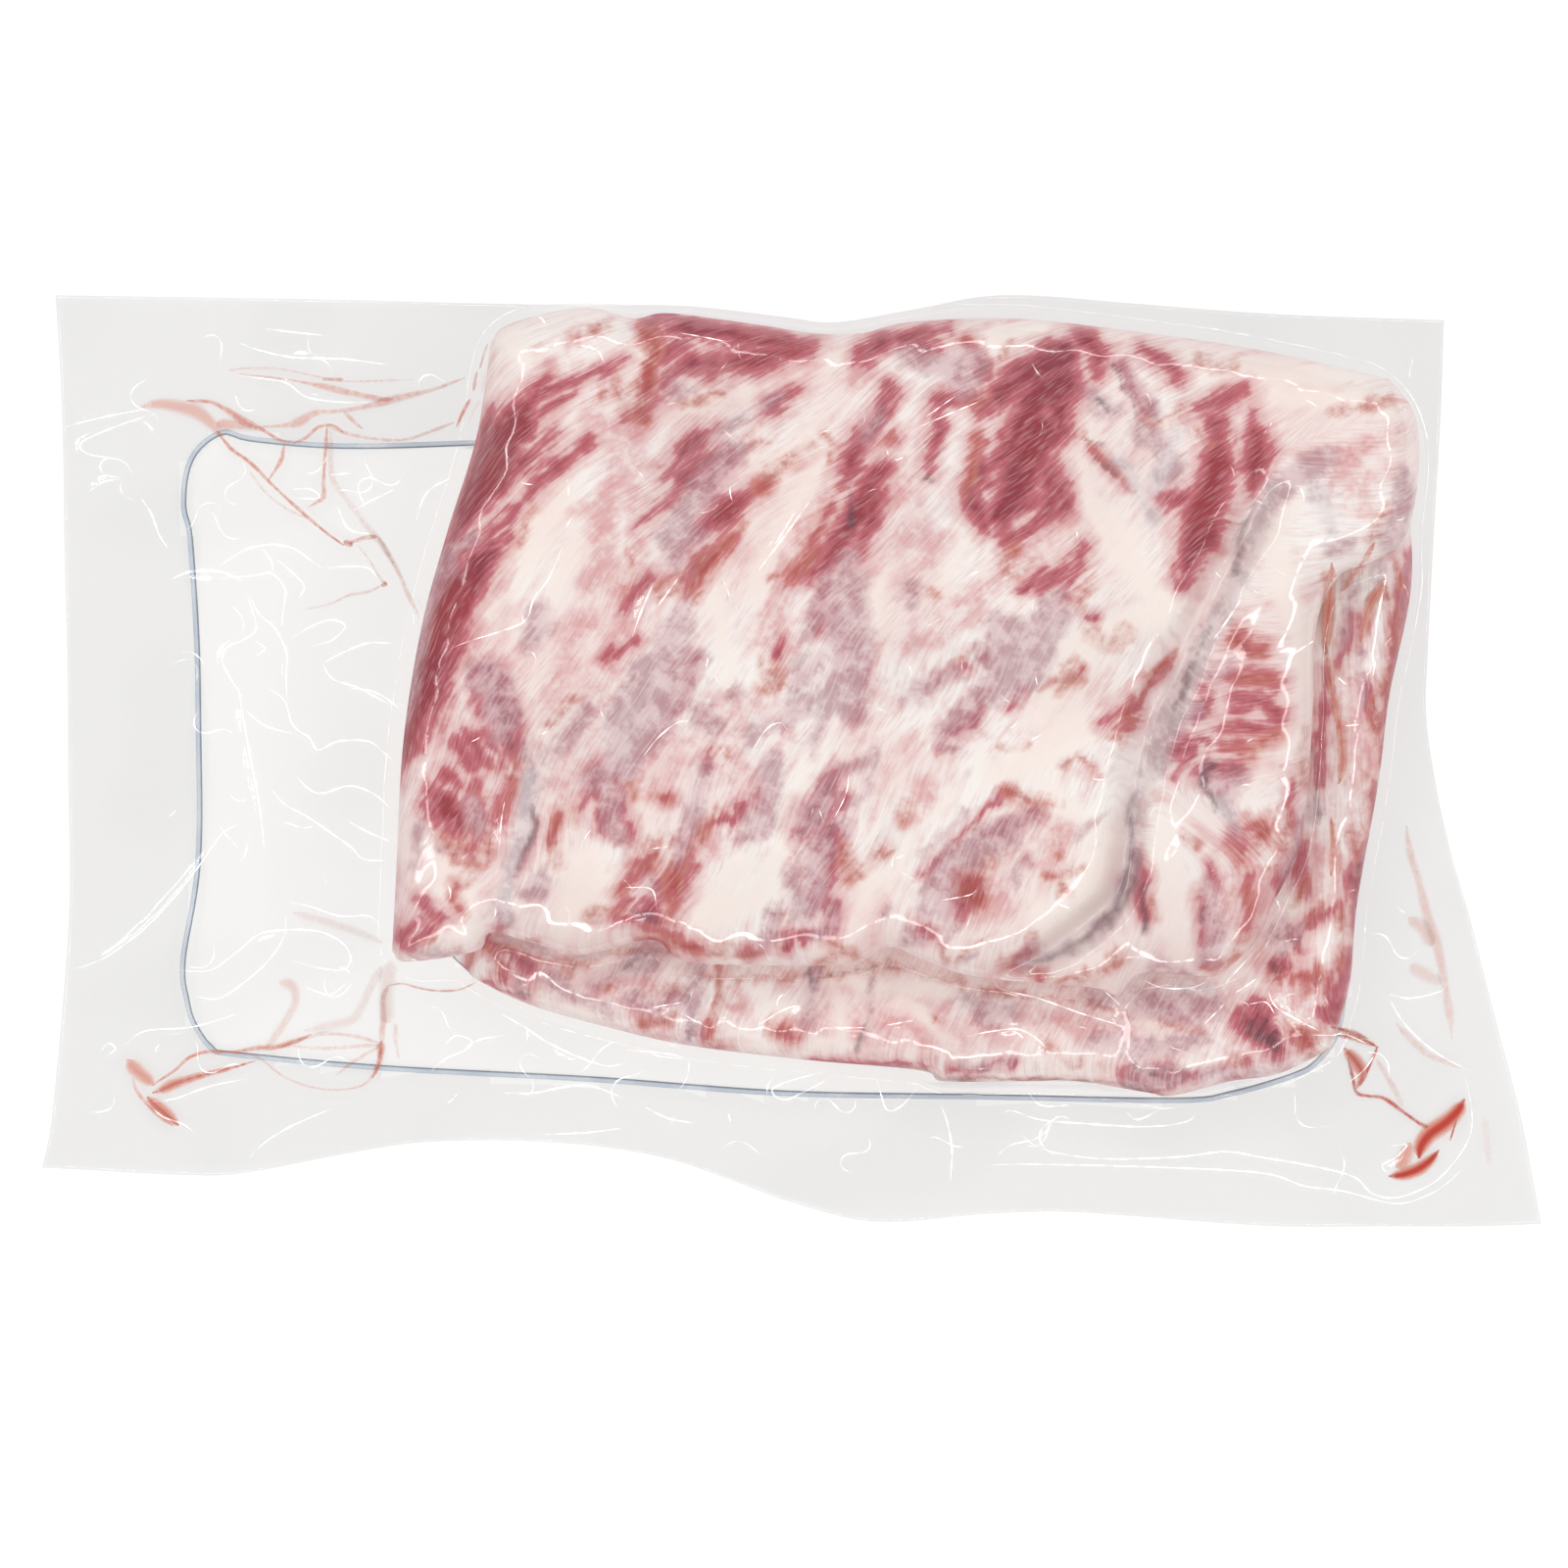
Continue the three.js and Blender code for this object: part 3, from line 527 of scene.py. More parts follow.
        (-23, 73, 2)], [(-9, 73, 1), (-18, 67, 4), (-22, 64, 3), (-25, 61, 1.5)], [(-16, 60, 1.5),
        (-25, 52, 3), (-28, 47, 2)], [(52, 28, 1)], [(62, 18, 1), (58, 14, 0.5)], [(48, 114, 1),
        (52, 104, 1.5)], [(51, 86, 2), (49, 81, 1.5)], [(57, 87, 2), (59, 83, 2.5), (54, 80, 1.5)],
        [(54, 74, 2)], [(73, 74, 2), (73, 68, 2)], [(111, 95, 2.5), (119, 98, 2), (123, 100, 1)],
        [(114, 92, 2.5), (116, 87, 2.5), (114, 74, 5.5), (110, 61, 6), (106, 48, 2)]]),
    ("rustAndShade", [[(-29, 96, 1), (-19, 99, 1)], [(-9, 68, 1), (-24, 51, 2.5), (-27, 47, 1.5)], [(-29, 52, 1),
        (-36, 46, 1)], [(39, 45, 1.5), (37, 46, 1)], [(47, 114, 2), (51, 106, 2.5)], [(60, 57, 1.5),
        (57, 53, 1.5), (60, 50, 1.5)], [(94, 92, 1), (98, 90, 1), (106, 96, 1)], [(110, 109, 1.5),
        (114, 106, 1.5), (119, 107, 1.5)], [(79, 87, 1), (92, 73, 1)]]),
    ("darkAndShade", [[(87, 107, 0.5), (93, 94, 0.5)], [(82, 98, 1), (85, 95, 1)], [(79, 87, 0.5), (84, 85, 0.5)],
        [(82, 82, 0.5), (87, 77, 0.5)]]),
    ("fat", [[(64, 21, 1), (66, 18, 1)], [(-66, 80, 0.5), (-81, 66, 0.5)], [(103, 59, 1), (105, 49, 1)],
        [(108, 45, 1.5), (111, 50, 1)]]),
    ("lean", [[(47, 25, 1), (40, 22, 1)], [(78, 24, 1)], [(94, 11, 1), (91, 10, 1.5), (88, 9, 1)],
        [(-37, 98, 1.5), (-40, 94, 2), (-44, 93, 1.5)], [(-76, 86, 2), (-84, 70, 3)], [(84, 10, 1),
        (92, 16, 1.5)]]),
    ("rustAndShade", [[(48, 30, 0.5), (42, 23, 1.5)], [(67, 19, 0.5), (72, 22, 1)], [(78, 25, 1), (78, 23, 1.5),
        (75, 23, 2), (73, 19, 1), (76, 20, 1)], [(77, 28, 0.5), (73, 25, 1)], [(95, 19, 1), (91, 12, 2.5),
        (86, 9, 0.5)], [(83, 5, 0.5), (87, 6, 1), (90, 5, 1.5), (90, 3, 1)], [(73, -2, 1), (77, 1, 1),
        (84, -4, 0.5)], [(64, 4, 0.5), (57, 3, 1)], [(-44, 57, 1), (-43, 49, 1), (-45, 46, 1)],
        [(80, 34, 1.5), (85, 32, 2), (92, 33, 1.5)], [(73, 22, 1.5), (77, 23, 2)]]),
    ("fat", [[(117, 13, 0.5), (127, 13, 0.5)]]),
    ("lean", [[(136, -6, 1), (135, -12, 1.5), (137, -17, 1.5)], [(113, -3, 2.5), (117, -3, 2)]]),
    ("rustAndShade", [[(145, 50, 1), (147, 15, 0.5)]]),
    # painted shade: the second chain lies in the groove
    ("darkAndShade", [[(116, 0, 0.5), (112, -1, 1), (111, -4, 1), (115, -14, 0.5)], [(114, 36, 0.5),
        (103, 14, 0.5)]]),
    ("fat", [[(126, 100, 1), (120, 94, 1), (118, 89, 1.5), (123, 70, 1)]]),
    ("rustAndShade", [[(108, 91, 1), (113, 85, 1)], [(146, 94, 1), (154, 95, 1.5), (162, 98, 1)]]),
    # painted shade in the groove
    ("darkAndShade", [[(126, 71, 0.5), (121, 57, 1.5), (120, 50, 1)]]),
    ("veil", [[(-86, 60, 1.5), (-91, 57, 1.5)], [(-93, 54, 2.5), (-98, 45, 2), (-105, 12, 1)], [(-83, 23, 5),
        (-79, 19, 5.5), (-78, 12, 5), (-79, 7, 2.5)], [(-81, 23, 3.5), (-78, 17, 3.5)], [(-66, 36, 2.5),
        (-71, 31, 2.5), (-68, 41, 2.5)], [(-55, 13, 2), (-62, 4, 1.5), (-67, 0, 1.5)], [(-71, 3, 1.5),
        (-69, -6, 2), (-71, -17, 2)], [(-31, 100, 2), (-27, 100, 1.5)], [(-3, 98, 1.5), (-7, 96, 1.5)],
        [(-12, 93, 1.5), (-21, 87, 1.5)], [(-16, 83, 3.5), (-33, 61, 3.5), (-31, 54, 3)], [(-25, 61, 2),
        (-29, 59, 2)], [(22, 92, 2.5), (20, 87, 1.5)], [(32, 109, 3), (42, 106, 4), (48, 107, 5),
        (47, 101, 3)], [(81, 99, 2), (83, 94, 1.5)], [(166, 77, 2.5), (166, 68, 3), (163, 61, 5)],
        [(151, 59, 2), (146, 57, 2)], [(143, 81, 3.5), (135, 76, 3.5), (129, 69, 2.5)], [(-29, 41, 2),
        (-35, 28, 4.5), (-40, 20, 5.5), (-44, 11, 6.5), (-45, 1, 6)], [(-25, 28, 2), (-29, 18, 3.5),
        (-39, 7, 2.5), (-42, 1, 3.5)], [(16, 54, 3), (12, 45, 5.5), (7, 41, 3.5), (4, 33, 1)],
        [(17, 49, 2.5), (18, 45, 2), (15, 41, 2)], [(19, 33, 3), (16, 25, 5), (13, 19, 5), (16, 20, 5.5),
        (17, 12, 3)], [(7, 28, 2.5), (3, 23, 3.5), (1, 20, 2.5)], [(11, 20, 2.5), (7, 17, 2), (2, 14, 3.5),
        (-11, 7, 1.5)], [(10, 16, 2), (6, 6, 2), (6, 2, 1)], [(-15, 18, 2)], [(-24, 12, 3.5), (-21, 9, 2.5)],
        [(-23, -1, 1.5), (-26, -13, 2.5), (-31, -28, 1)], [(-11, 4, 1.5), (-9, 7, 2)], [(-5, -1, 3),
        (-8, -17, 3.5), (-12, -20, 2.5)], [(14, -2, 1.5), (17, -2, 2), (21, 0, 1.5), (23, -1, 1)],
        [(23, 4, 1), (23, -1, 1.5)], [(73, 44, 2.5), (71, 40, 4.5), (70, 37, 3.5), (67, 38, 3)],
        [(69, 35, 3.5), (64, 33, 5), (54, 34, 2)], [(63, 29, 6), (62, 23, 5), (52, 17, 2)], [(69, 31, 2.5),
        (67, 25, 2.5)], [(57, 24, 2.5), (48, 14, 3.5), (40, 5, 1.5)], [(52, 28, 4)], [(52, 28, 1.5)],
        [(61, 17, 2)], [(44, 23, 2.5), (30, 17, 1.5)], [(32, 46, 2), (32, 42, 1.5)], [(47, -15, 1),
        (35, -26, 1)], [(38, 5, 1), (44, 3, 1)], [(114, 23, 2), (117, 25, 1.5)], [(110, 14, 2),
        (103, 8, 2.5)], [(98, 3, 2), (100, -2, 2.5)], [(114, -6, 3), (117, -8, 3.5), (120, -5, 3),
        (119, -12, 2)], [(120, -19, 1.5)], [(142, -14, 2), (134, -30, 1.5)], [(113, -34, 2), (115, -47, 2.5),
        (114, -53, 3)], [(-86, -13, 3), (-85, -18, 2.5)], [(-101, -17, 1.5), (-103, -29, 1)],
        [(-95, -24, 1)], [(-79, -40, 2), (-79, -43, 2.5)], [(-101, -53, 2), (-91, -53, 1)], [(-52, -4, 3),
        (-55, -6, 2.5), (-49, -8, 3), (-48, -20, 2.5), (-45, -23, 2)], [(-69, -35, 2), (-72, -36, 1.5),
        (-68, -32, 2)], [(-39, -33, 1.5), (-37, -36, 1)], [(-29, -20, 1.5), (-30, -25, 1.5)],
        [(-10, -17, 3.5), (-11, -20, 2)], [(-5, -42, 2.5), (-5, -47, 2.5), (-8, -49, 2)], [(11, -5, 1.5),
        (9, -10, 3.5), (5, -16, 4), (2, -20, 1.5)], [(13, -17, 2.5), (15, -18, 2)], [(8, -23, 3.5),
        (6, -28, 3.5), (7, -34, 3.5), (5, -40, 3.5)], [(10, -41, 2), (11, -45, 1.5), (7, -47, 2)],
        [(0, -32, 2), (2, -43, 2.5)], [(21, -4, 1), (19, -9, 1.5), (16, -12, 1)], [(27, -40, 1),
        (25, -42, 1)], [(67, -14, 1), (51, -22, 4), (47, -26, 4)], [(59, -21, 2.5), (53, -24, 2.5),
        (56, -22, 2.5)], [(43, -25, 3), (39, -37, 4), (36, -41, 2.5), (42, -40, 2.5)], [(32, -46, 2),
        (31, -49, 1.5), (36, -49, 1.5)], [(44, -45, 2), (43, -47, 1.5), (40, -45, 1.5)], [(50, -52, 1),
        (47, -54, 1)], [(64, -28, 2), (61, -30, 1.5), (60, -34, 1)], [(85, -14, 0.5), (77, -21, 1)],
        [(65, -51, 1.5), (62, -55, 1.5)], [(100, -55, 2), (108, -59, 1.5), (98, -57, 1.5)], [(-29, 36, 3),
        (-38, 9, 5), (-43, -1, 3.5)], [(-39, 19, 4), (-44, 7, 5), (-49, -4, 3)], [(61, 32, 6.5), (64, 23, 4),
        (68, 36, 4)], [(74, 42, 2), (71, 36, 3)], [(14, 46, 6), (16, 25, 6), (15, 15, 3.5)], [(90, 106, 2),
        (95, 97, 2.5), (98, 93, 1.5)], [(80, 99, 2), (87, 94, 2)], [(93, 89, 2.5), (99, 86, 3), (103, 79, 3),
        (97, 73, 2.5)], [(56, 36, 4), (63, 29, 5.5), (57, 20, 4), (48, 15, 3)]]),
    ("warm", [[(-76, 114, 3.5), (-71, 107, 3)], [(-42, 110, 2.5), (-40, 103, 2)], [(-62, 73, 2.5),
        (-69, 57, 3.5), (-76, 46, 3)], [(68, 118, 2), (55, 111, 2.5), (61, 114, 2)], [(117, 107, 2),
        (130, 105, 3.5), (146, 103, 3.5), (157, 107, 2.5)], [(-7, 20, 3)], [(51, 3, 1.5), (53, -4, 3.5),
        (67, 1, 5.5), (77, 9, 5.5)], [(67, 11, 3.5), (80, 28, 3.5)], [(133, 15, 3), (136, 9, 3),
        (133, 4, 3)], [(125, -6, 2.5), (124, -12, 2)], [(101, -20, 3.5), (102, -33, 3.5), (101, -43, 3),
        (104, -14, 2.5)], [(-87, -38, 3), (-88, -43, 2), (-95, -30, 4), (-93, -28, 3.5)], [(-93, -47, 2.5),
        (-89, -47, 3), (-85, -46, 2)], [(-55, -28, 6), (-58, -38, 6), (-62, -46, 3.5), (-50, -30, 3.5)],
        [(-34, -47, 1.5), (-18, -53, 1.5)], [(-21, -54, 1), (-13, -54, 1.5)], [(-13, -28, 4), (-17, -34, 4),
        (-23, -41, 3.5)], [(12, -52, 2), (9, -54, 2), (16, -53, 1.5)], [(83, -28, 5.5), (80, -38, 6.5),
        (72, -45, 5.5), (67, -41, 3.5)], [(80, -57, 2.5), (84, -59, 2), (75, -59, 1.5), (89, -50, 2)],
        [(98, -38, 1.5), (101, -46, 2)], [(121, -47, 2.5), (122, -51, 2)], [(-53, 86, 2.5), (-72, 59, 4.5),
        (-80, 46, 3.5), (-81, 39, 2.5)], [(-58, 62, 2.5), (-64, 46, 3.5), (-73, 34, 2.5)], [(6, 89, 2.5),
        (-6, 76, 3), (-22, 46, 2.5), (-16, 23, 3)], [(9, 81, 2), (-7, 55, 3), (-11, 44, 2.5)],
        [(-33, 93, 1.5), (-7, 101, 2), (15, 111, 2)], [(23, 46, 3.5), (21, 37, 3)], [(56, 115, 3),
        (51, 112, 2.5)], [(85, 102, 2), (80, 91, 2), (77, 81, 3), (80, 70, 4), (88, 60, 5.5), (93, 52, 3.5),
        (101, 41, 4)], [(100, 40, 4), (89, 37, 4), (74, 29, 4), (63, 20, 2.5)], [(139, 76, 3),
        (130, 61, 3.5), (133, 47, 4.5), (139, 32, 3.5), (139, 20, 3)], [(109, 105, 2), (130, 99, 3.5),
        (153, 97, 3), (160, 94, 2.5)], [(47, 59, 2.5), (39, 46, 2.5)], [(-94, -28, 2.5), (-96, -37, 2)],
        [(-104, -19, 2), (-107, -28, 1.5)], [(-24, -43, 4.5), (-10, -37, 5), (-4, -28, 3), (1, -7, 2),
        (12, 11, 2.5)], [(20, -37, 3.5), (23, -30, 2.5)], [(-44, -16, 2), (-35, -9, 1.5)], [(62, 0, 2.5),
        (74, -13, 3.5), (85, -21, 3.5)], [(103, -21, 3), (105, -51, 2.5)], [(27, -33, 2), (33, -21, 2),
        (43, -9, 2)]]),
    ("pink", [[(-62, 79, 1), (-68, 83, 1)], [(-55, 115, 2.5), (-60, 113, 2)], [(-69, 107, 2.5),
        (-59, 101, 1)], [(-47, 102, 3), (-54, 93, 2.5), (-46, 89, 2)], [(-42, 89, 3.5), (-52, 62, 3.5),
        (-51, 53, 3.5), (-55, 46, 3)], [(-40, 81, 2), (-44, 68, 2), (-42, 57, 2.5), (-46, 46, 2.5)],
        [(-77, 57, 4), (-79, 50, 2), (-81, 41, 2.5), (-87, 29, 2)], [(-87, -6, 3.5), (-83, -14, 3)],
        [(-51, 38, 3.5), (-58, 36, 4), (-64, 16, 2.5)], [(-55, 20, 3.5), (-60, 8, 3), (-62, 0, 2)],
        [(-66, 1, 1.5), (-62, -1, 1.5), (-67, 4, 1.5)], [(-5, 105, 2.5), (5, 107, 2)], [(-31, 94, 2),
        (-10, 99, 2)], [(-31, 57, 3.5), (-35, 49, 2.5)], [(19, 107, 2.5), (16, 101, 2)], [(7, 73, 2),
        (-2, 57, 2)], [(26, 81, 1.5)], [(52, 110, 2), (44, 101, 2.5)], [(67, 58, 2.5), (61, 53, 3.5),
        (56, 49, 3)], [(40, 60, 3), (36, 52, 2.5), (40, 46, 2)], [(87, 62, 2.5), (80, 65, 2.5)],
        [(30, 78, 2), (32, 68, 3), (31, 57, 2.5)], [(113, 106, 1.5)], [(133, 100, 0.5), (142, 100, 1),
        (151, 101, 0.5)], [(108, 89, 2.5), (106, 93, 1.5)], [(149, 81, 2.5), (155, 85, 3)], [(153, 73, 3.5),
        (159, 78, 2.5)], [(143, 73, 2), (162, 89, 2)], [(-34, 7, 2.5), (-34, -1, 5), (-35, -8, 3.5)],
        [(-29, 5, 2), (-24, 7, 1.5)], [(-2, 42, 2.5), (-5, 33, 3.5), (-9, 30, 2.5), (1, 31, 2.5)],
        [(-8, 36, 1.5), (-5, 41, 1.5)], [(20, 28, 2.5), (22, 20, 3), (16, 8, 2.5)], [(-2, 23, 1.5),
        (6, 23, 1.5)], [(-15, 19, 1.5), (-23, 13, 2)], [(-13, 15, 2.5), (-7, 17, 2), (-15, 12, 2)],
        [(-18, 7, 1.5), (-22, -1, 1)], [(-15, 8, 2.5), (-17, 1, 2.5), (-15, -2, 3.5), (-19, -5, 2)],
        [(-2, 8, 2), (0, 7, 1.5)], [(-5, 3, 1.5), (-2, 1, 1.5)], [(-18, -14, 2), (-22, -17, 2),
        (-14, -10, 1.5)], [(14, -2, 2), (18, -1, 1.5)], [(52, 19, 2.5), (47, 13, 3), (42, 7, 2.5)],
        [(51, 6, 1.5), (44, 4, 2), (40, 2, 1)], [(38, 19, 2), (26, 14, 1.5)], [(51, 40, 1.5), (32, 31, 2.5)],
        [(53, 46, 2.5), (40, 38, 2)], [(32, 46, 2)], [(34, 37, 1), (30, 28, 1)], [(46, 36, 1), (51, 38, 1)],
        [(79, -1, 2), (81, -3, 1.5)], [(54, 0, 1), (58, -8, 1.5)], [(38, -9, 2), (34, -17, 2), (31, -14, 2),
        (35, -6, 1.5)], [(120, -18, 2), (122, -22, 3), (126, -24, 3), (128, -41, 3.5), (126, -49, 3)],
        [(137, -20, 3), (133, -22, 3), (130, -33, 2.5)], [(-87, -6, 2.5), (-84, -13, 3), (-85, -20, 3)],
        [(-89, -25, 2.5), (-92, -28, 1.5), (-87, -28, 1.5)], [(-77, -20, 2), (-80, -25, 1.5)],
        [(-93, -34, 1.5), (-91, -41, 2)], [(-95, -45, 1.5), (-98, -48, 1.5)], [(-108, -28, 1.5),
        (-109, -49, 1.5)], [(-55, -4, 3), (-64, -6, 2.5), (-60, -6, 2.5)], [(-71, -37, 1.5)],
        [(-44, -42, 2.5), (-50, -43, 1.5)], [(-25, -17, 1.5), (-21, -24, 2.5)], [(-14, -20, 2.5),
        (-10, -18, 2.5)], [(-2, -45, 3), (-5, -49, 2.5), (-1, -51, 2)], [(2, -22, 2.5), (0, -33, 2.5)],
        [(26, -26, 1.5), (16, -33, 1.5)], [(44, -26, 3), (47, -22, 3), (40, -33, 3.5)], [(73, -28, 2.5),
        (71, -21, 2.5), (75, -18, 2)], [(69, -16, 2.5), (76, -17, 2), (67, -21, 2)], [(57, -33, 1.5),
        (57, -41, 1.5)], [(26, -25, 1.5)], [(120, -28, 2.5), (118, -38, 2.5), (121, -49, 3)],
        [(-29, 20, 2.5), (-38, -1, 4)], [(15, 32, 3), (15, 23, 2.5)], [(-44, 36, 3.5), (-55, 9, 3.5)],
        [(32, 68, 3), (38, 57, 3.5), (40, 46, 2.5)]]),
    # painted sheen of the film, the long first chain running down the groove
    ("silverSheen", [[(130, 73, 1.5), (120, 46, 2.5), (105, 20, 3), (93, -14, 2.5), (93, -26, 2.5),
        (91, -34, 2.5), (87, -42, 2), (81, -49, 2), (64, -56, 1.5)], [(-71, -4, 2), (-72, -18, 2.5),
        (-78, -38, 2), (-77, -43, 1.5)], [(142, 73, 2.5), (146, 62, 2)], [(88, 81, 1.5), (94, 73, 2),
        (98, 65, 1.5)], [(116, -11, 1.5), (119, -15, 1.5)], [(104, 89, 1.5), (99, 74, 1.5)]]),
]
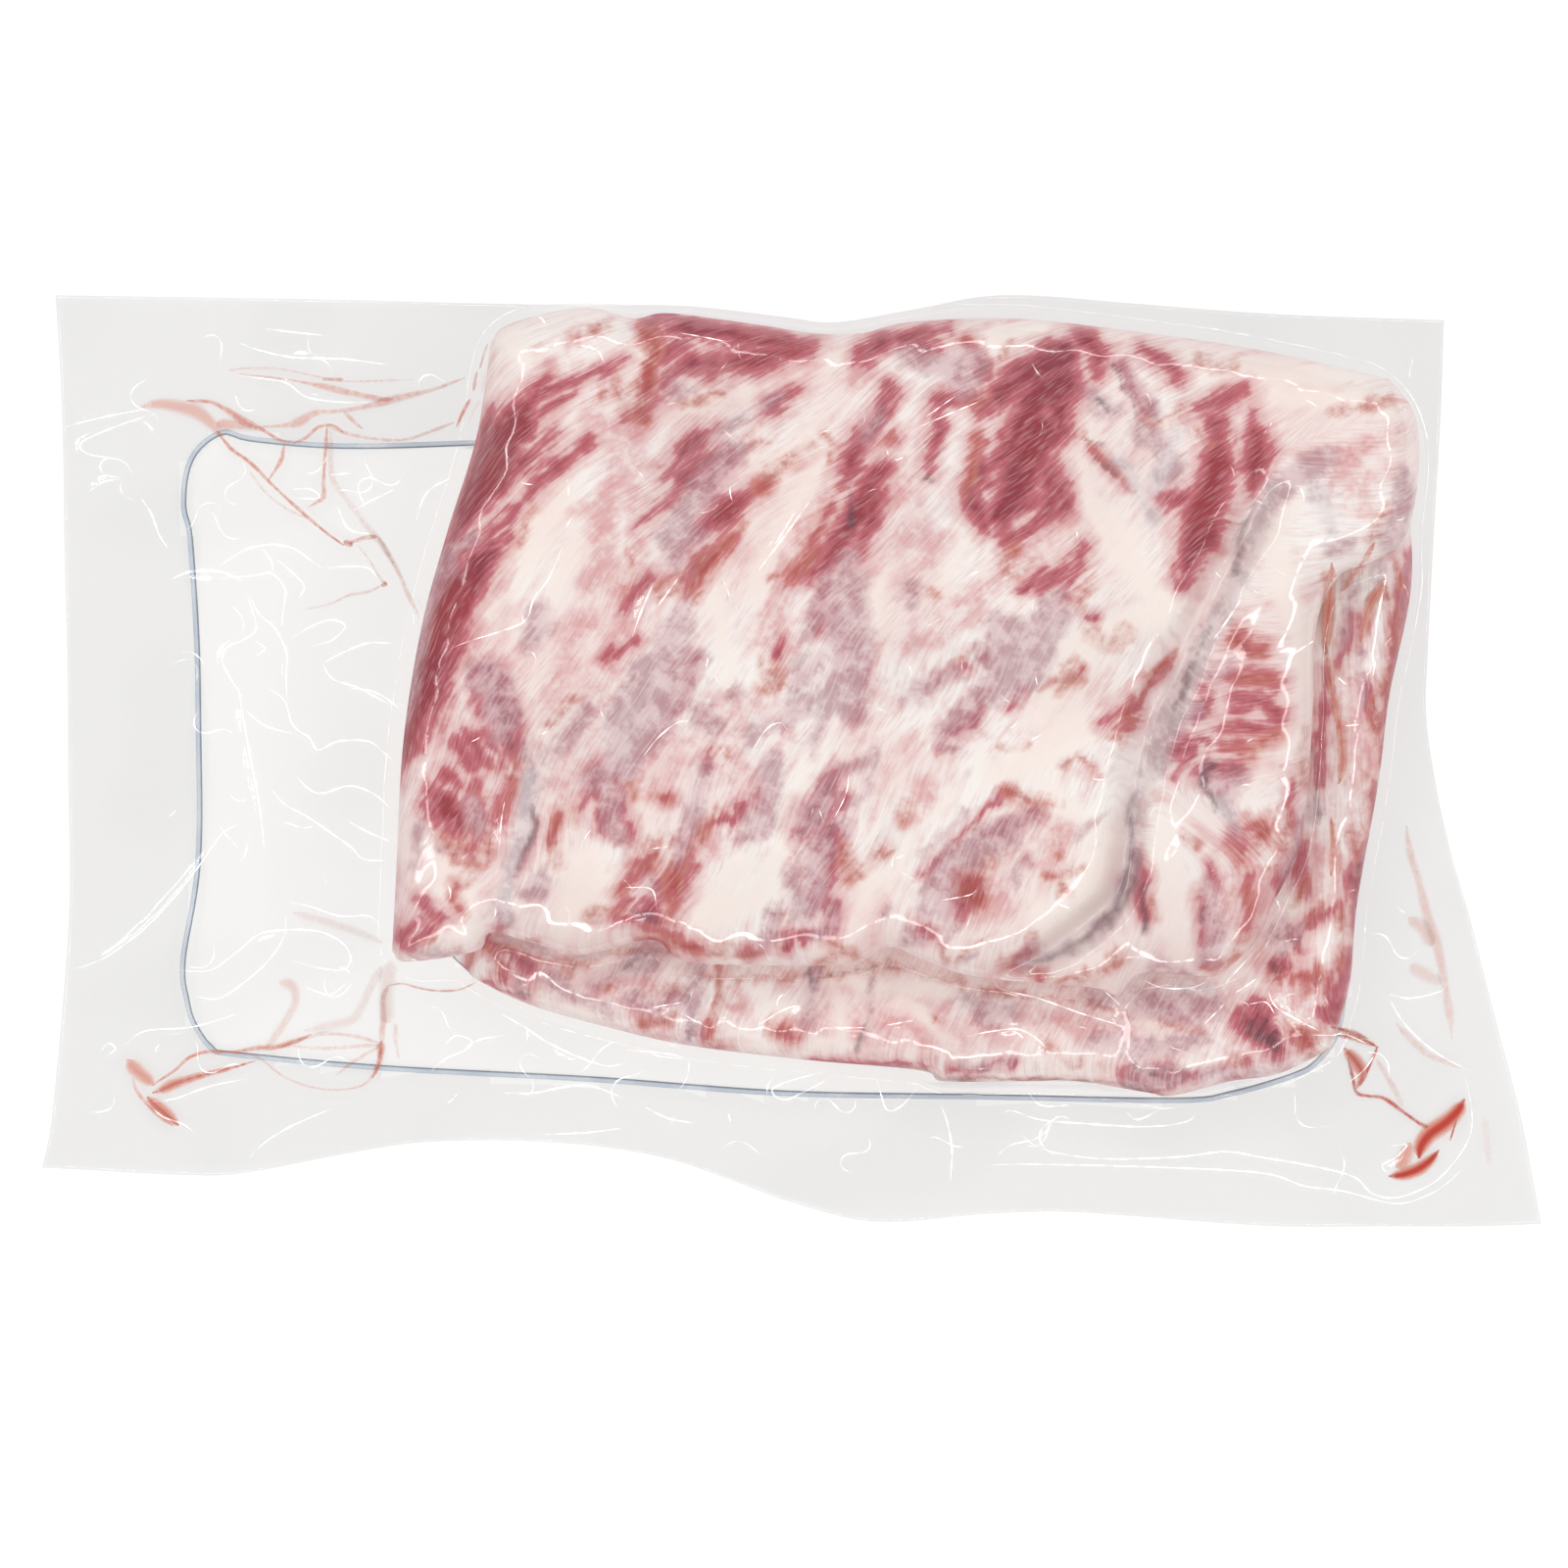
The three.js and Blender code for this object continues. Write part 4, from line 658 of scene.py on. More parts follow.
lowerPatches = [
    ("lean", [[(-83, -49, 1.5), (-81, -52, 1.5)], [(-77, -54, 1.5), (-74, -55, 2.5), (-71, -57, 1.5)],
        [(-85, -61, 0.5), (-75, -66, 0.5)], [(-23, -72, 0.5), (-25, -77, 1)], [(-2, -75, 2), (0, -76, 1.5)],
        [(5, -83, 0.5), (38, -84, 0.5)], [(44, -85, 0.5), (52, -86, 1), (56, -83, 0.5), (61, -84, 1)],
        [(128, -69, 2.5), (131, -72, 2.5), (126, -73, 3), (134, -80, 2)], [(124, -73, 2), (129, -77, 2.5),
        (133, -80, 1.5), (136, -81, 0.5)], [(126, -84, 1), (125, -82, 1)], [(102, -85, 2), (103, -89, 2.5),
        (100, -91, 2), (92, -87, 1.5)], [(139, -77, 1.5), (142, -78, 1.5)], [(171, 56, 2), (168, 37, 2.5)],
        [(145, 8, 1), (145, -6, 1.5)], [(147, 25, 0.5), (147, 14, 1.5), (146, 9, 1)], [(155, 40, 1),
        (152, 31, 1.5), (150, 27, 1)], [(158, 21, 1), (159, 15, 1.5), (159, 11, 0.5)], [(165, 8, 1),
        (163, -1, 1)], [(161, -6, 1), (161, -18, 1)], [(160, -23, 1.5), (156, -32, 3.5), (156, -45, 1)],
        [(-87, -53, 0.5), (-90, -57, 1)], [(138, -47, 1.5), (140, -52, 1)], [(133, -56, 2.5),
        (135, -58, 2.5), (136, -55, 2)], [(140, -60, 1.5), (144, -60, 2)], [(145, -69, 1), (149, -71, 1)],
        [(155, -39, 1), (155, -44, 1.5), (156, -47, 1)], [(154, -53, 1.5), (151, -69, 1)], [(141, -23, 1),
        (140, -29, 2), (141, -35, 1.5)], [(152, -40, 1), (143, -44, 1.5), (140, -47, 1.5)], [(148, -60, 1.5),
        (150, -71, 1.5)], [(-39, -51, 1), (-34, -52, 1)], [(-79, -57, 1.5), (-80, -59, 1.5)], [(128, -71, 3),
        (131, -74, 3)], [(-83, -50, 1), (-71, -56, 1)], [(169, 48, 1.5), (165, 10, 1.5)], [(161, -33, 1.5),
        (157, -55, 1.5)]]),
    # brown of blood; the chains hugging the upper half's front edge are a painted shadow line under it
    ("rustAndShade", [[(-84, -50, 1.5), (-80, -57, 1.5)], [(-61, -57, 2), (-57, -56, 1.5)], [(-50, -62, 1.5)],
        [(-32, -57, 1.5), (-29, -56, 1), (-29, -58, 1)], [(-39, -64, 1.5), (-32, -63, 1.5), (-37, -70, 1)],
        [(-20, -58, 0.5), (-21, -66, 0.5)], [(-20, -57, 1), (-21, -69, 1), (-24, -76, 1)], [(-21, -74, 1),
        (-19, -64, 1.5), (-17, -67, 1.5)], [(-2, -74, 2.5), (0, -77, 1.5), (-5, -74, 2)], [(10, -56, 1),
        (17, -57, 1.5), (30, -57, 2), (46, -60, 1)], [(40, -71, 1)], [(81, -65, 1.5), (85, -68, 1)],
        [(85, -75, 1), (87, -72, 1)], [(88, -69, 1), (113, -75, 0.5)], [(126, -84, 1.5), (123, -83, 2.5)],
        [(138, -74, 2.5), (143, -77, 2.5), (141, -80, 1)], [(159, 58, 1), (153, 48, 1.5)], [(163, 45, 2),
        (167, 37, 2), (165, 21, 3), (164, 12, 2.5)], [(152, 9, 1), (152, -6, 0.5)], [(150, -18, 0.5),
        (150, -31, 1)], [(161, 45, 1), (158, 35, 0.5)], [(161, 15, 2.5), (163, 3, 2)], [(158, -3, 0.5),
        (160, -5, 1), (161, -15, 1)], [(153, -20, 1.5), (157, -20, 2), (156, -25, 2)], [(142, -32, 1),
        (138, -40, 1)], [(-86, -52, 1), (-89, -57, 1.5), (-92, -58, 1)], [(146, -40, 1), (137, -47, 1)],
        [(135, -60, 2), (132, -59, 2)], [(140, -60, 2), (145, -60, 2.5), (142, -63, 2)], [(144, -57, 1)],
        [(152, -40, 1), (152, -46, 1.5)], [(152, -51, 1.5), (151, -58, 1.5)], [(148, 52, 1), (150, 15, 0.5)],
        [(158, 58, 0.5), (151, 45, 0.5)], [(152, 8, 0.5), (153, -2, 0.5)], [(167, 42, 1.5), (163, -1, 1.5)],
        [(158, -3, 0.5), (160, -11, 1), (161, -17, 1)], [(163, 48, 1), (160, 42, 1)], [(7, -57, 1),
        (20, -59, 1), (32, -57, 1.5), (46, -60, 1)], [(-39, -71, 2), (-33, -71, 2), (-42, -73, 1.5)],
        [(-18, -66, 1), (-19, -69, 1)], [(-24, -78, 1.5), (-12, -82, 1)], [(141, -81, 1.5), (146, -82, 1),
        (144, -78, 1.5)], [(149, -82, 2), (156, -82, 2), (157, -86, 1.5)], [(166, 58, 1), (169, 48, 1)],
        [(20, -86, 1), (37, -86, 1)], [(-83, -50, 1), (-66, -55, 0.5), (-57, -55, 0.5), (-42, -52, 1)]]),
    # painted shade: the short upright chains lie in the rib hollows, and those near y -51 to -59 under the
    # upper half's front edge
    ("darkAndShade", [[(-36, -51, 0.5), (-46, -57, 0.5)], [(-76, -64, 0.5), (-74, -65, 1)], [(-27, -71, 0.5),
        (-28, -77, 0.5)], [(5, -58, 0.5), (5, -64, 0.5)], [(21, -70, 0.5), (18, -80, 1)], [(139, -50, 0.5),
        (140, -49, 0.5)], [(132, -56, 1), (134, -58, 1)], [(125, -70, 0.5), (133, -76, 0.5)],
        [(129, -70, 0.5), (135, -77, 0.5)], [(143, 3, 0.5), (145, -17, 0.5)], [(10, -59, 0.5),
        (25, -56, 0.5)]]),
    ("fat", [[(99, -86, 1), (102, -90, 1)]]),
    ("lean", [[(108, -87, 1), (113, -87, 0.5)], [(121, -87, 1), (126, -88, 1)], [(124, -70, 2.5),
        (132, -76, 3), (135, -80, 1.5)], [(124, -72, 2), (129, -76, 3.5), (134, -79, 2.5)]]),
    ("rustAndShade", [[(69, -77, 1), (76, -84, 1), (81, -83, 1)], [(48, -88, 1), (87, -89, 1)], [(-27, -59, 0.5),
        (-13, -60, 0.5), (18, -59, 1), (27, -55, 1), (51, -63, 1), (68, -65, 0.5), (83, -66, 0.5),
        (90, -69, 0.5)]]),
    ("darkAndShade", [[(124, -73, 0.5), (132, -80, 0.5)], [(16, -85, 0.5), (38, -85, 0.5), (41, -88, 0.5),
        (90, -89, 0.5), (103, -93, 0.5)], [(95, -84, 0.5), (99, -86, 0.5), (103, -85, 0.5)], [(126, -72, 1),
        (130, -76, 2), (133, -79, 1.5)]]),
    # painted shade: the chains at x 84 to 115, y about -64 to -68, grey the film's tent down from the upper
    # half's front edge
    ("veil", [[(-33, -50, 2.5), (-41, -54, 3), (-54, -61, 1.5)], [(-75, -60, 1), (-75, -64, 1.5)],
        [(-43, -53, 2), (-37, -56, 2), (-40, -58, 1.5)], [(-26, -57, 2), (-28, -78, 1.5)], [(6, -57, 2.5),
        (4, -72, 1.5)], [(22, -60, 1), (21, -75, 1)], [(54, -69, 4), (59, -70, 3), (48, -65, 2.5)],
        [(96, -67, 4.5), (115, -68, 4.5), (84, -64, 3)], [(103, -87, 4), (96, -89, 4), (109, -86, 2)],
        [(114, -87, 2), (131, -87, 2), (136, -85, 1.5)], [(163, 56, 2), (161, 50, 1.5)], [(144, -12, 1.5),
        (143, -16, 1.5)], [(159, -24, 1), (160, -29, 1.5)], [(157, 30, 1), (157, 15, 1)], [(136, -44, 2),
        (133, -50, 2), (139, -46, 1.5)], [(138, -48, 2), (135, -52, 1.5)], [(48, -84, 1.5), (55, -85, 1.5),
        (59, -83, 1)], [(-45, -65, 2.5), (-38, -67, 3), (-29, -65, 2.5)], [(-67, -60, 2), (-51, -69, 2)],
        [(84, -77, 2), (101, -79, 3), (114, -77, 2)], [(155, 48, 1.5), (153, 39, 1.5), (151, 32, 1)]]),
    ("warm", [[(-56, -69, 3), (-51, -71, 2.5), (-67, -69, 2)], [(11, -60, 2), (41, -63, 2)], [(92, -71, 1.5),
        (101, -73, 1.5)], [(140, -28, 1.5), (142, -32, 2), (141, -35, 1.5)], [(138, -40, 2), (138, -44, 2)],
        [(145, -50, 2.5), (146, -54, 1.5)], [(-17, -75, 2), (2, -79, 1.5), (14, -77, 2.5), (13, -63, 2)],
        [(44, -78, 1.5), (31, -66, 2.5)], [(148, -30, 1.5), (147, -47, 2)], [(-10, -64, 2.5), (-2, -69, 3),
        (-5, -76, 2)]]),
    ("pink", [[(-78, -60, 4), (-70, -58, 4.5), (-59, -56, 4.5), (-64, -63, 4)], [(-59, -65, 3),
        (-50, -62, 2.5), (-43, -70, 4)], [(-39, -64, 3.5), (-31, -64, 3), (-40, -70, 3), (-33, -72, 3)],
        [(-17, -60, 2.5), (-14, -67, 4), (-17, -74, 4.5), (-20, -79, 2)], [(-6, -74, 1.5), (-2, -76, 3.5),
        (2, -76, 1.5)], [(-10, -60, 2.5), (14, -65, 3), (11, -74, 4), (26, -73, 2.5)], [(26, -77, 2.5),
        (48, -77, 2), (32, -66, 3), (34, -71, 2)], [(63, -68, 2), (64, -73, 2), (69, -71, 3), (76, -71, 4)],
        [(101, -66, 5.5), (113, -67, 5.5), (80, -74, 3)], [(122, -80, 4), (126, -82, 4.5), (119, -85, 3)],
        [(136, -83, 2.5), (142, -71, 3)], [(156, 37, 2.5), (155, -20, 2.5)], [(148, 4, 1.5), (149, -12, 2),
        (147, -25, 2)], [(158, 7, 1.5), (157, 2, 1.5), (160, -1, 1.5)], [(146, -23, 1.5), (147, -33, 2),
        (145, -42, 1.5)], [(142, -67, 3), (146, -66, 2.5)], [(79, -66, 3.5), (84, -77, 2)], [(3, -71, 4),
        (25, -69, 3), (41, -77, 4.5), (63, -71, 4)], [(-56, -69, 3), (-45, -77, 3), (-29, -77, 2.5)],
        [(-67, -60, 4), (-43, -63, 4), (-32, -66, 3)]]),
    # painted sheen: the second chain runs along the foot of the upper half's front edge
    ("silverSheen", [[(114, -63, 1.5), (106, -62, 1.5)], [(-81, -49, 0.5), (-66, -53, 1), (-57, -54, 1),
        (-50, -52, 0.5)]]),
]


# how the meat is painted

flesh = {        # colours as sRGB hex: a field's light and deep end, then the strength it is laid on with
    "fat": ("FFF9F4", "FAE8E3"), "stream": ("E4AAA8", 0.76), "paleStream": ("DEC7C9", 0.35),
    "hair": ("ECC9C7", 0.3), "warm": ("FEEFE6", 0.6), "pink": ("DC9294", 0.7),
    "muscle": ("8A1A32", "98252E", 0.9), "leanEdge": ("DA9496", 0.6), "leanFlank": ("C45A68", 0.88),
    "leanHair": ("DC9299", 0.35), "leanThread": ("650A1C", 0.5), "rustAndShade": ("D88C7C", "B2483F", 0.8),
    "veil": ("DFBDC0", "B5808A", 0.74), "veilHair": ("EBD8DA", 0.4), "fineLight": ("FCEFEE", 0.16),
    # painted sheen in the pale grey-white pair, and in part painted shade in the deep purple-grey
    "fineDark": ("9A5A64", 0.14), "silverSheen": ("EBE0DF", "C8B8BB", 0.8), "darkAndShade": ("56414A", 0.78),
    # painted shade: the red laid on the walls
    "rim": ("983C48", 0.22), "roughness": 0.38, "sheen": 0.2, "bump": (0.4, 0.0012),
}
# rimShare: the share of the shoulder, up from the widest line, that the painted wall shade climbs
fields = {"deepest": 9, "crispRadius": 1.7, "crispMost": 1.7, "wobble": 0.6, "rimShare": 0.75}


def fibreMap(x, y, z, lower):
    # upper half: fibres lean off the depth of the pouch and bend over towards the back; right of
    # the groove they lie across it and turn upright further down; lower half: slanting, then upright
    if lower:
        upright = smooth((x - 132) / 12)
        slant, acrossSlant = 0.5 * x + 0.87 * y, 0.87 * x - 0.5 * y
        along = slant + upright * (y - slant)
        acrossFibres = acrossSlant + upright * (x - acrossSlant)
    else:
        bend = 0.58 * y + 0.006 * np.maximum(y - 25, 0) ** 2
        along = 0.5 * x + 0.85 * y + 3 * waves(x, y, 31, 60)
        acrossFibres = 0.8 * (x - bend) + 2 * waves(x, y, 32, 45)
        turn = 1.3 * smooth((4 - y) / 36)
        foldX, foldY = np.append(grooveLine[::-1, 0], 172), np.append(grooveLine[::-1, 1], 98)
        flap = x > np.interp(y, foldY, foldX)
        u, v = x - 125, y - 16
        along = np.where(flap, u * np.cos(turn) + v * np.sin(turn), along)
        acrossFibres = np.where(flap, v * np.cos(turn) - u * np.sin(turn), acrossFibres)
    return np.stack([along, acrossFibres + 0.7 * z], axis=1) * 0.01        # one unit is 100 mm


def paintMeat(patches, x, y, z, lower, top, wide):
    # every patch is a chain of discs (x, y, radius) in mm; a kind's value is the depth inside
    # its patches, and later fat patches cut into lean laid down before them
    far = fields["deepest"]
    wobbleX, wobbleY = fields["wobble"] * waves(x, y, 21, 9), fields["wobble"] * waves(x, y, 22, 8)
    kinds = ("lean", "veil", "rustAndShade", "darkAndShade", "warm", "pink", "silverSheen")
    values = {kind: np.full(x.shape, -float(far)) for kind in kinds}
    for kind, chains in patches:
        for discs in chains:
            discs = np.array(discs, float)
            reach = discs[:, 2].max() + far
            near = ((x > discs[:, 0].min() - reach) & (x < discs[:, 0].max() + reach)
                    & (y > discs[:, 1].min() - reach) & (y < discs[:, 1].max() + reach))
            px, py = x[near] + wobbleX[near], y[near] + wobbleY[near]
            if len(discs) == 1:
                depth = discs[0, 2] - np.hypot(px - discs[0, 0], py - discs[0, 1])
            else:
                depth = distanceTo(discs[:, :2], px, py, widths=discs[:, 2])
            # thin patches get crisper edges
            depth = depth * np.clip(fields["crispRadius"] / discs[:, 2].max(), 1, fields["crispMost"])
            if kind == "fat":
                for cut in ("lean", "darkAndShade", "rustAndShade"):
                    values[cut][near] = np.minimum(values[cut][near], -depth)
            else:
                values[kind][near] = np.maximum(values[kind][near], depth)
    values = {kind: np.clip(v, -far, far) for kind, v in values.items()}
    # painted shade on the walls: 1 at and below the widest line, falling to 0 up the shoulder
    values["rim"] = 1 - smooth((z - wide) / (fields["rimShare"] * (top - wide)))
    return values, fibreMap(x, y, z, lower)


def meatFinish():
    finish = Finish("rawPork")

    def lay(tone, factor, name):        # one of the flesh colours over the tone so far
        text, strength = flesh[name]
        return finish.mix(factor * strength, tone, colour(text))

    def between(factor, name):        # from the light to the deep colour of a field
        return finish.mix(factor, colour(flesh[name][0]), colour(flesh[name][1]))

    grain = finish.node("ShaderNodeUVMap", {"uv_map": "grainMap"})
    place = finish.node("ShaderNodeTexCoord", out="Object")
    threads = finish.noise(grain, 1, stretch=(5, 60, 1), detail=3, roughness=0.65)
    hairs = finish.noise(grain, 1, stretch=(9, 105, 1), detail=1, roughness=0.6)
    streams = finish.noise(grain, 1, stretch=(3, 14, 1), detail=2, roughness=0.6)
    fine = finish.noise(grain, 1, stretch=(24, 150, 1), detail=0)
    blots = finish.noise(place, 130, detail=3, roughness=0.7)
    clouds = finish.noise(place, 28, detail=1)
    lean, veil, rustAndShade, darkAndShade = (finish.value(k) for k in ("lean", "veil", "rustAndShade", "darkAndShade"))
    warm, pink, silverSheen, rim = (finish.value(k) for k in ("warm", "pink", "silverSheen", "rim"))
    ragged = ((threads - 0.5) * 6 + (hairs - 0.5) * 2 + (blots - 0.5) * 5) * (1 - rim * 0.7)
    calm = 1 - warm.ramp(-3, 3) * 0.88
    mottle = 0.35 + blots.ramp(0.36, 0.62) * 0.65
    # fat first, then what lies on and in it
    tone = between(clouds.ramp(0.32, 0.66), "fat")
    tone = lay(tone, streams.ramp(0.46, 0.7) * mottle * calm, "stream")
    tone = lay(tone, (1 - streams).ramp(0.5, 0.7) * mottle * calm, "paleStream")
    tone = lay(tone, hairs.ramp(0.5, 0.66) * calm, "hair")
    tone = lay(tone, (warm + ragged * 0.4).ramp(-2, 4), "warm")
    tone = lay(tone, (pink + ragged * 0.9).ramp(-4, 4) * mottle * calm, "pink")
    # lean deepens from its pale feathered edge to its heart
    depth = lean + ragged + 0.4
    tone = lay(tone, depth.ramp(-5, 0), "leanEdge")
    tone = lay(tone, depth.ramp(-1.1, 1.0), "leanFlank")
    muscle = between(clouds.ramp(0.4, 0.62), "muscle")
    tone = finish.mix(depth.ramp(0.3, 4.3) * flesh["muscle"][2], tone, muscle)
    tone = lay(tone, hairs.ramp(0.54, 0.68) * depth.ramp(-1, 2), "leanHair")
    tone = lay(tone, (1 - threads).ramp(0.56, 0.7) * depth.ramp(0, 2), "leanThread")
    # brown of blood in the meat, and along the upper half's front edge a painted shadow line under that edge
    rusty = rustAndShade + ragged * 0.6
    brown = between(rusty.ramp(-0.5, 3), "rustAndShade")
    tone = finish.mix(rusty.ramp(-2, 1.6) * mottle * flesh["rustAndShade"][2], tone, brown)
    # grey-lavender membrane; in front of the upper half's front edge it is painted shade under the film that
    # tents down from there
    greyed = lay(between(blots.ramp(0.38, 0.6), "veil"), hairs.ramp(0.5, 0.64), "veilHair")
    tone = finish.mix((veil + ragged * 0.7).ramp(-2.2, 2) * flesh["veil"][2], tone, greyed)
    tone = lay(tone, fine.ramp(0.5, 0.8) * calm * (1 - rim), "fineLight")
    tone = lay(tone, (1 - fine).ramp(0.5, 0.8) * calm * (1 - rim), "fineDark")
    # painted sheen: pale grey-white streaks where the film shines along the groove and over folds
    skin = between(blots.ramp(0.4, 0.62), "silverSheen")
    tone = finish.mix((silverSheen + ragged * 0.5).ramp(-2.2, 2) * flesh["silverSheen"][2], tone, skin)
    # deep purple-grey: painted shade in the groove, the rib hollows and at the foot of the upper half's front
    # edge, and dark spots of the meat elsewhere
    tone = lay(tone, (darkAndShade + ragged * 0.6).ramp(-1.2, 2.6), "darkAndShade")
    # painted shade: the walls, at and below the widest line, laid over with a deeper red
    tone = lay(tone, rim, "rim")
    strength, distance = flesh["bump"]
    bump = finish.node("ShaderNodeBump", None, {"Height": blots, "Strength": strength, "Distance": distance})
    return finish.done(finish.node("ShaderNodeBsdfPrincipled", {"distribution": "GGX"}, {
        "Base Color": tone, "Roughness": flesh["roughness"] + blots * 0.2, "Normal": bump,
        "Specular IOR Level": flesh["sheen"]}, out="BSDF"))


rawPork = meatFinish()
for half, sides, loop, topAt, patches in (("upper", upperSides, upperLoop, upperTopAt, upperPatches),
                                          ("lower", lowerSides, lowerLoop, lowerTopAt, lowerPatches)):
    size = top, wide, base, rim = [rack[half + k] for k in ("Top", "Wide", "Base", "Rim")]
    makeSlab("rack" + half.capitalize(), sides, loop, topAt, size, rawPork,
             lambda x, y, z: paintMeat(patches, x, y, z, half == "lower", top, wide))


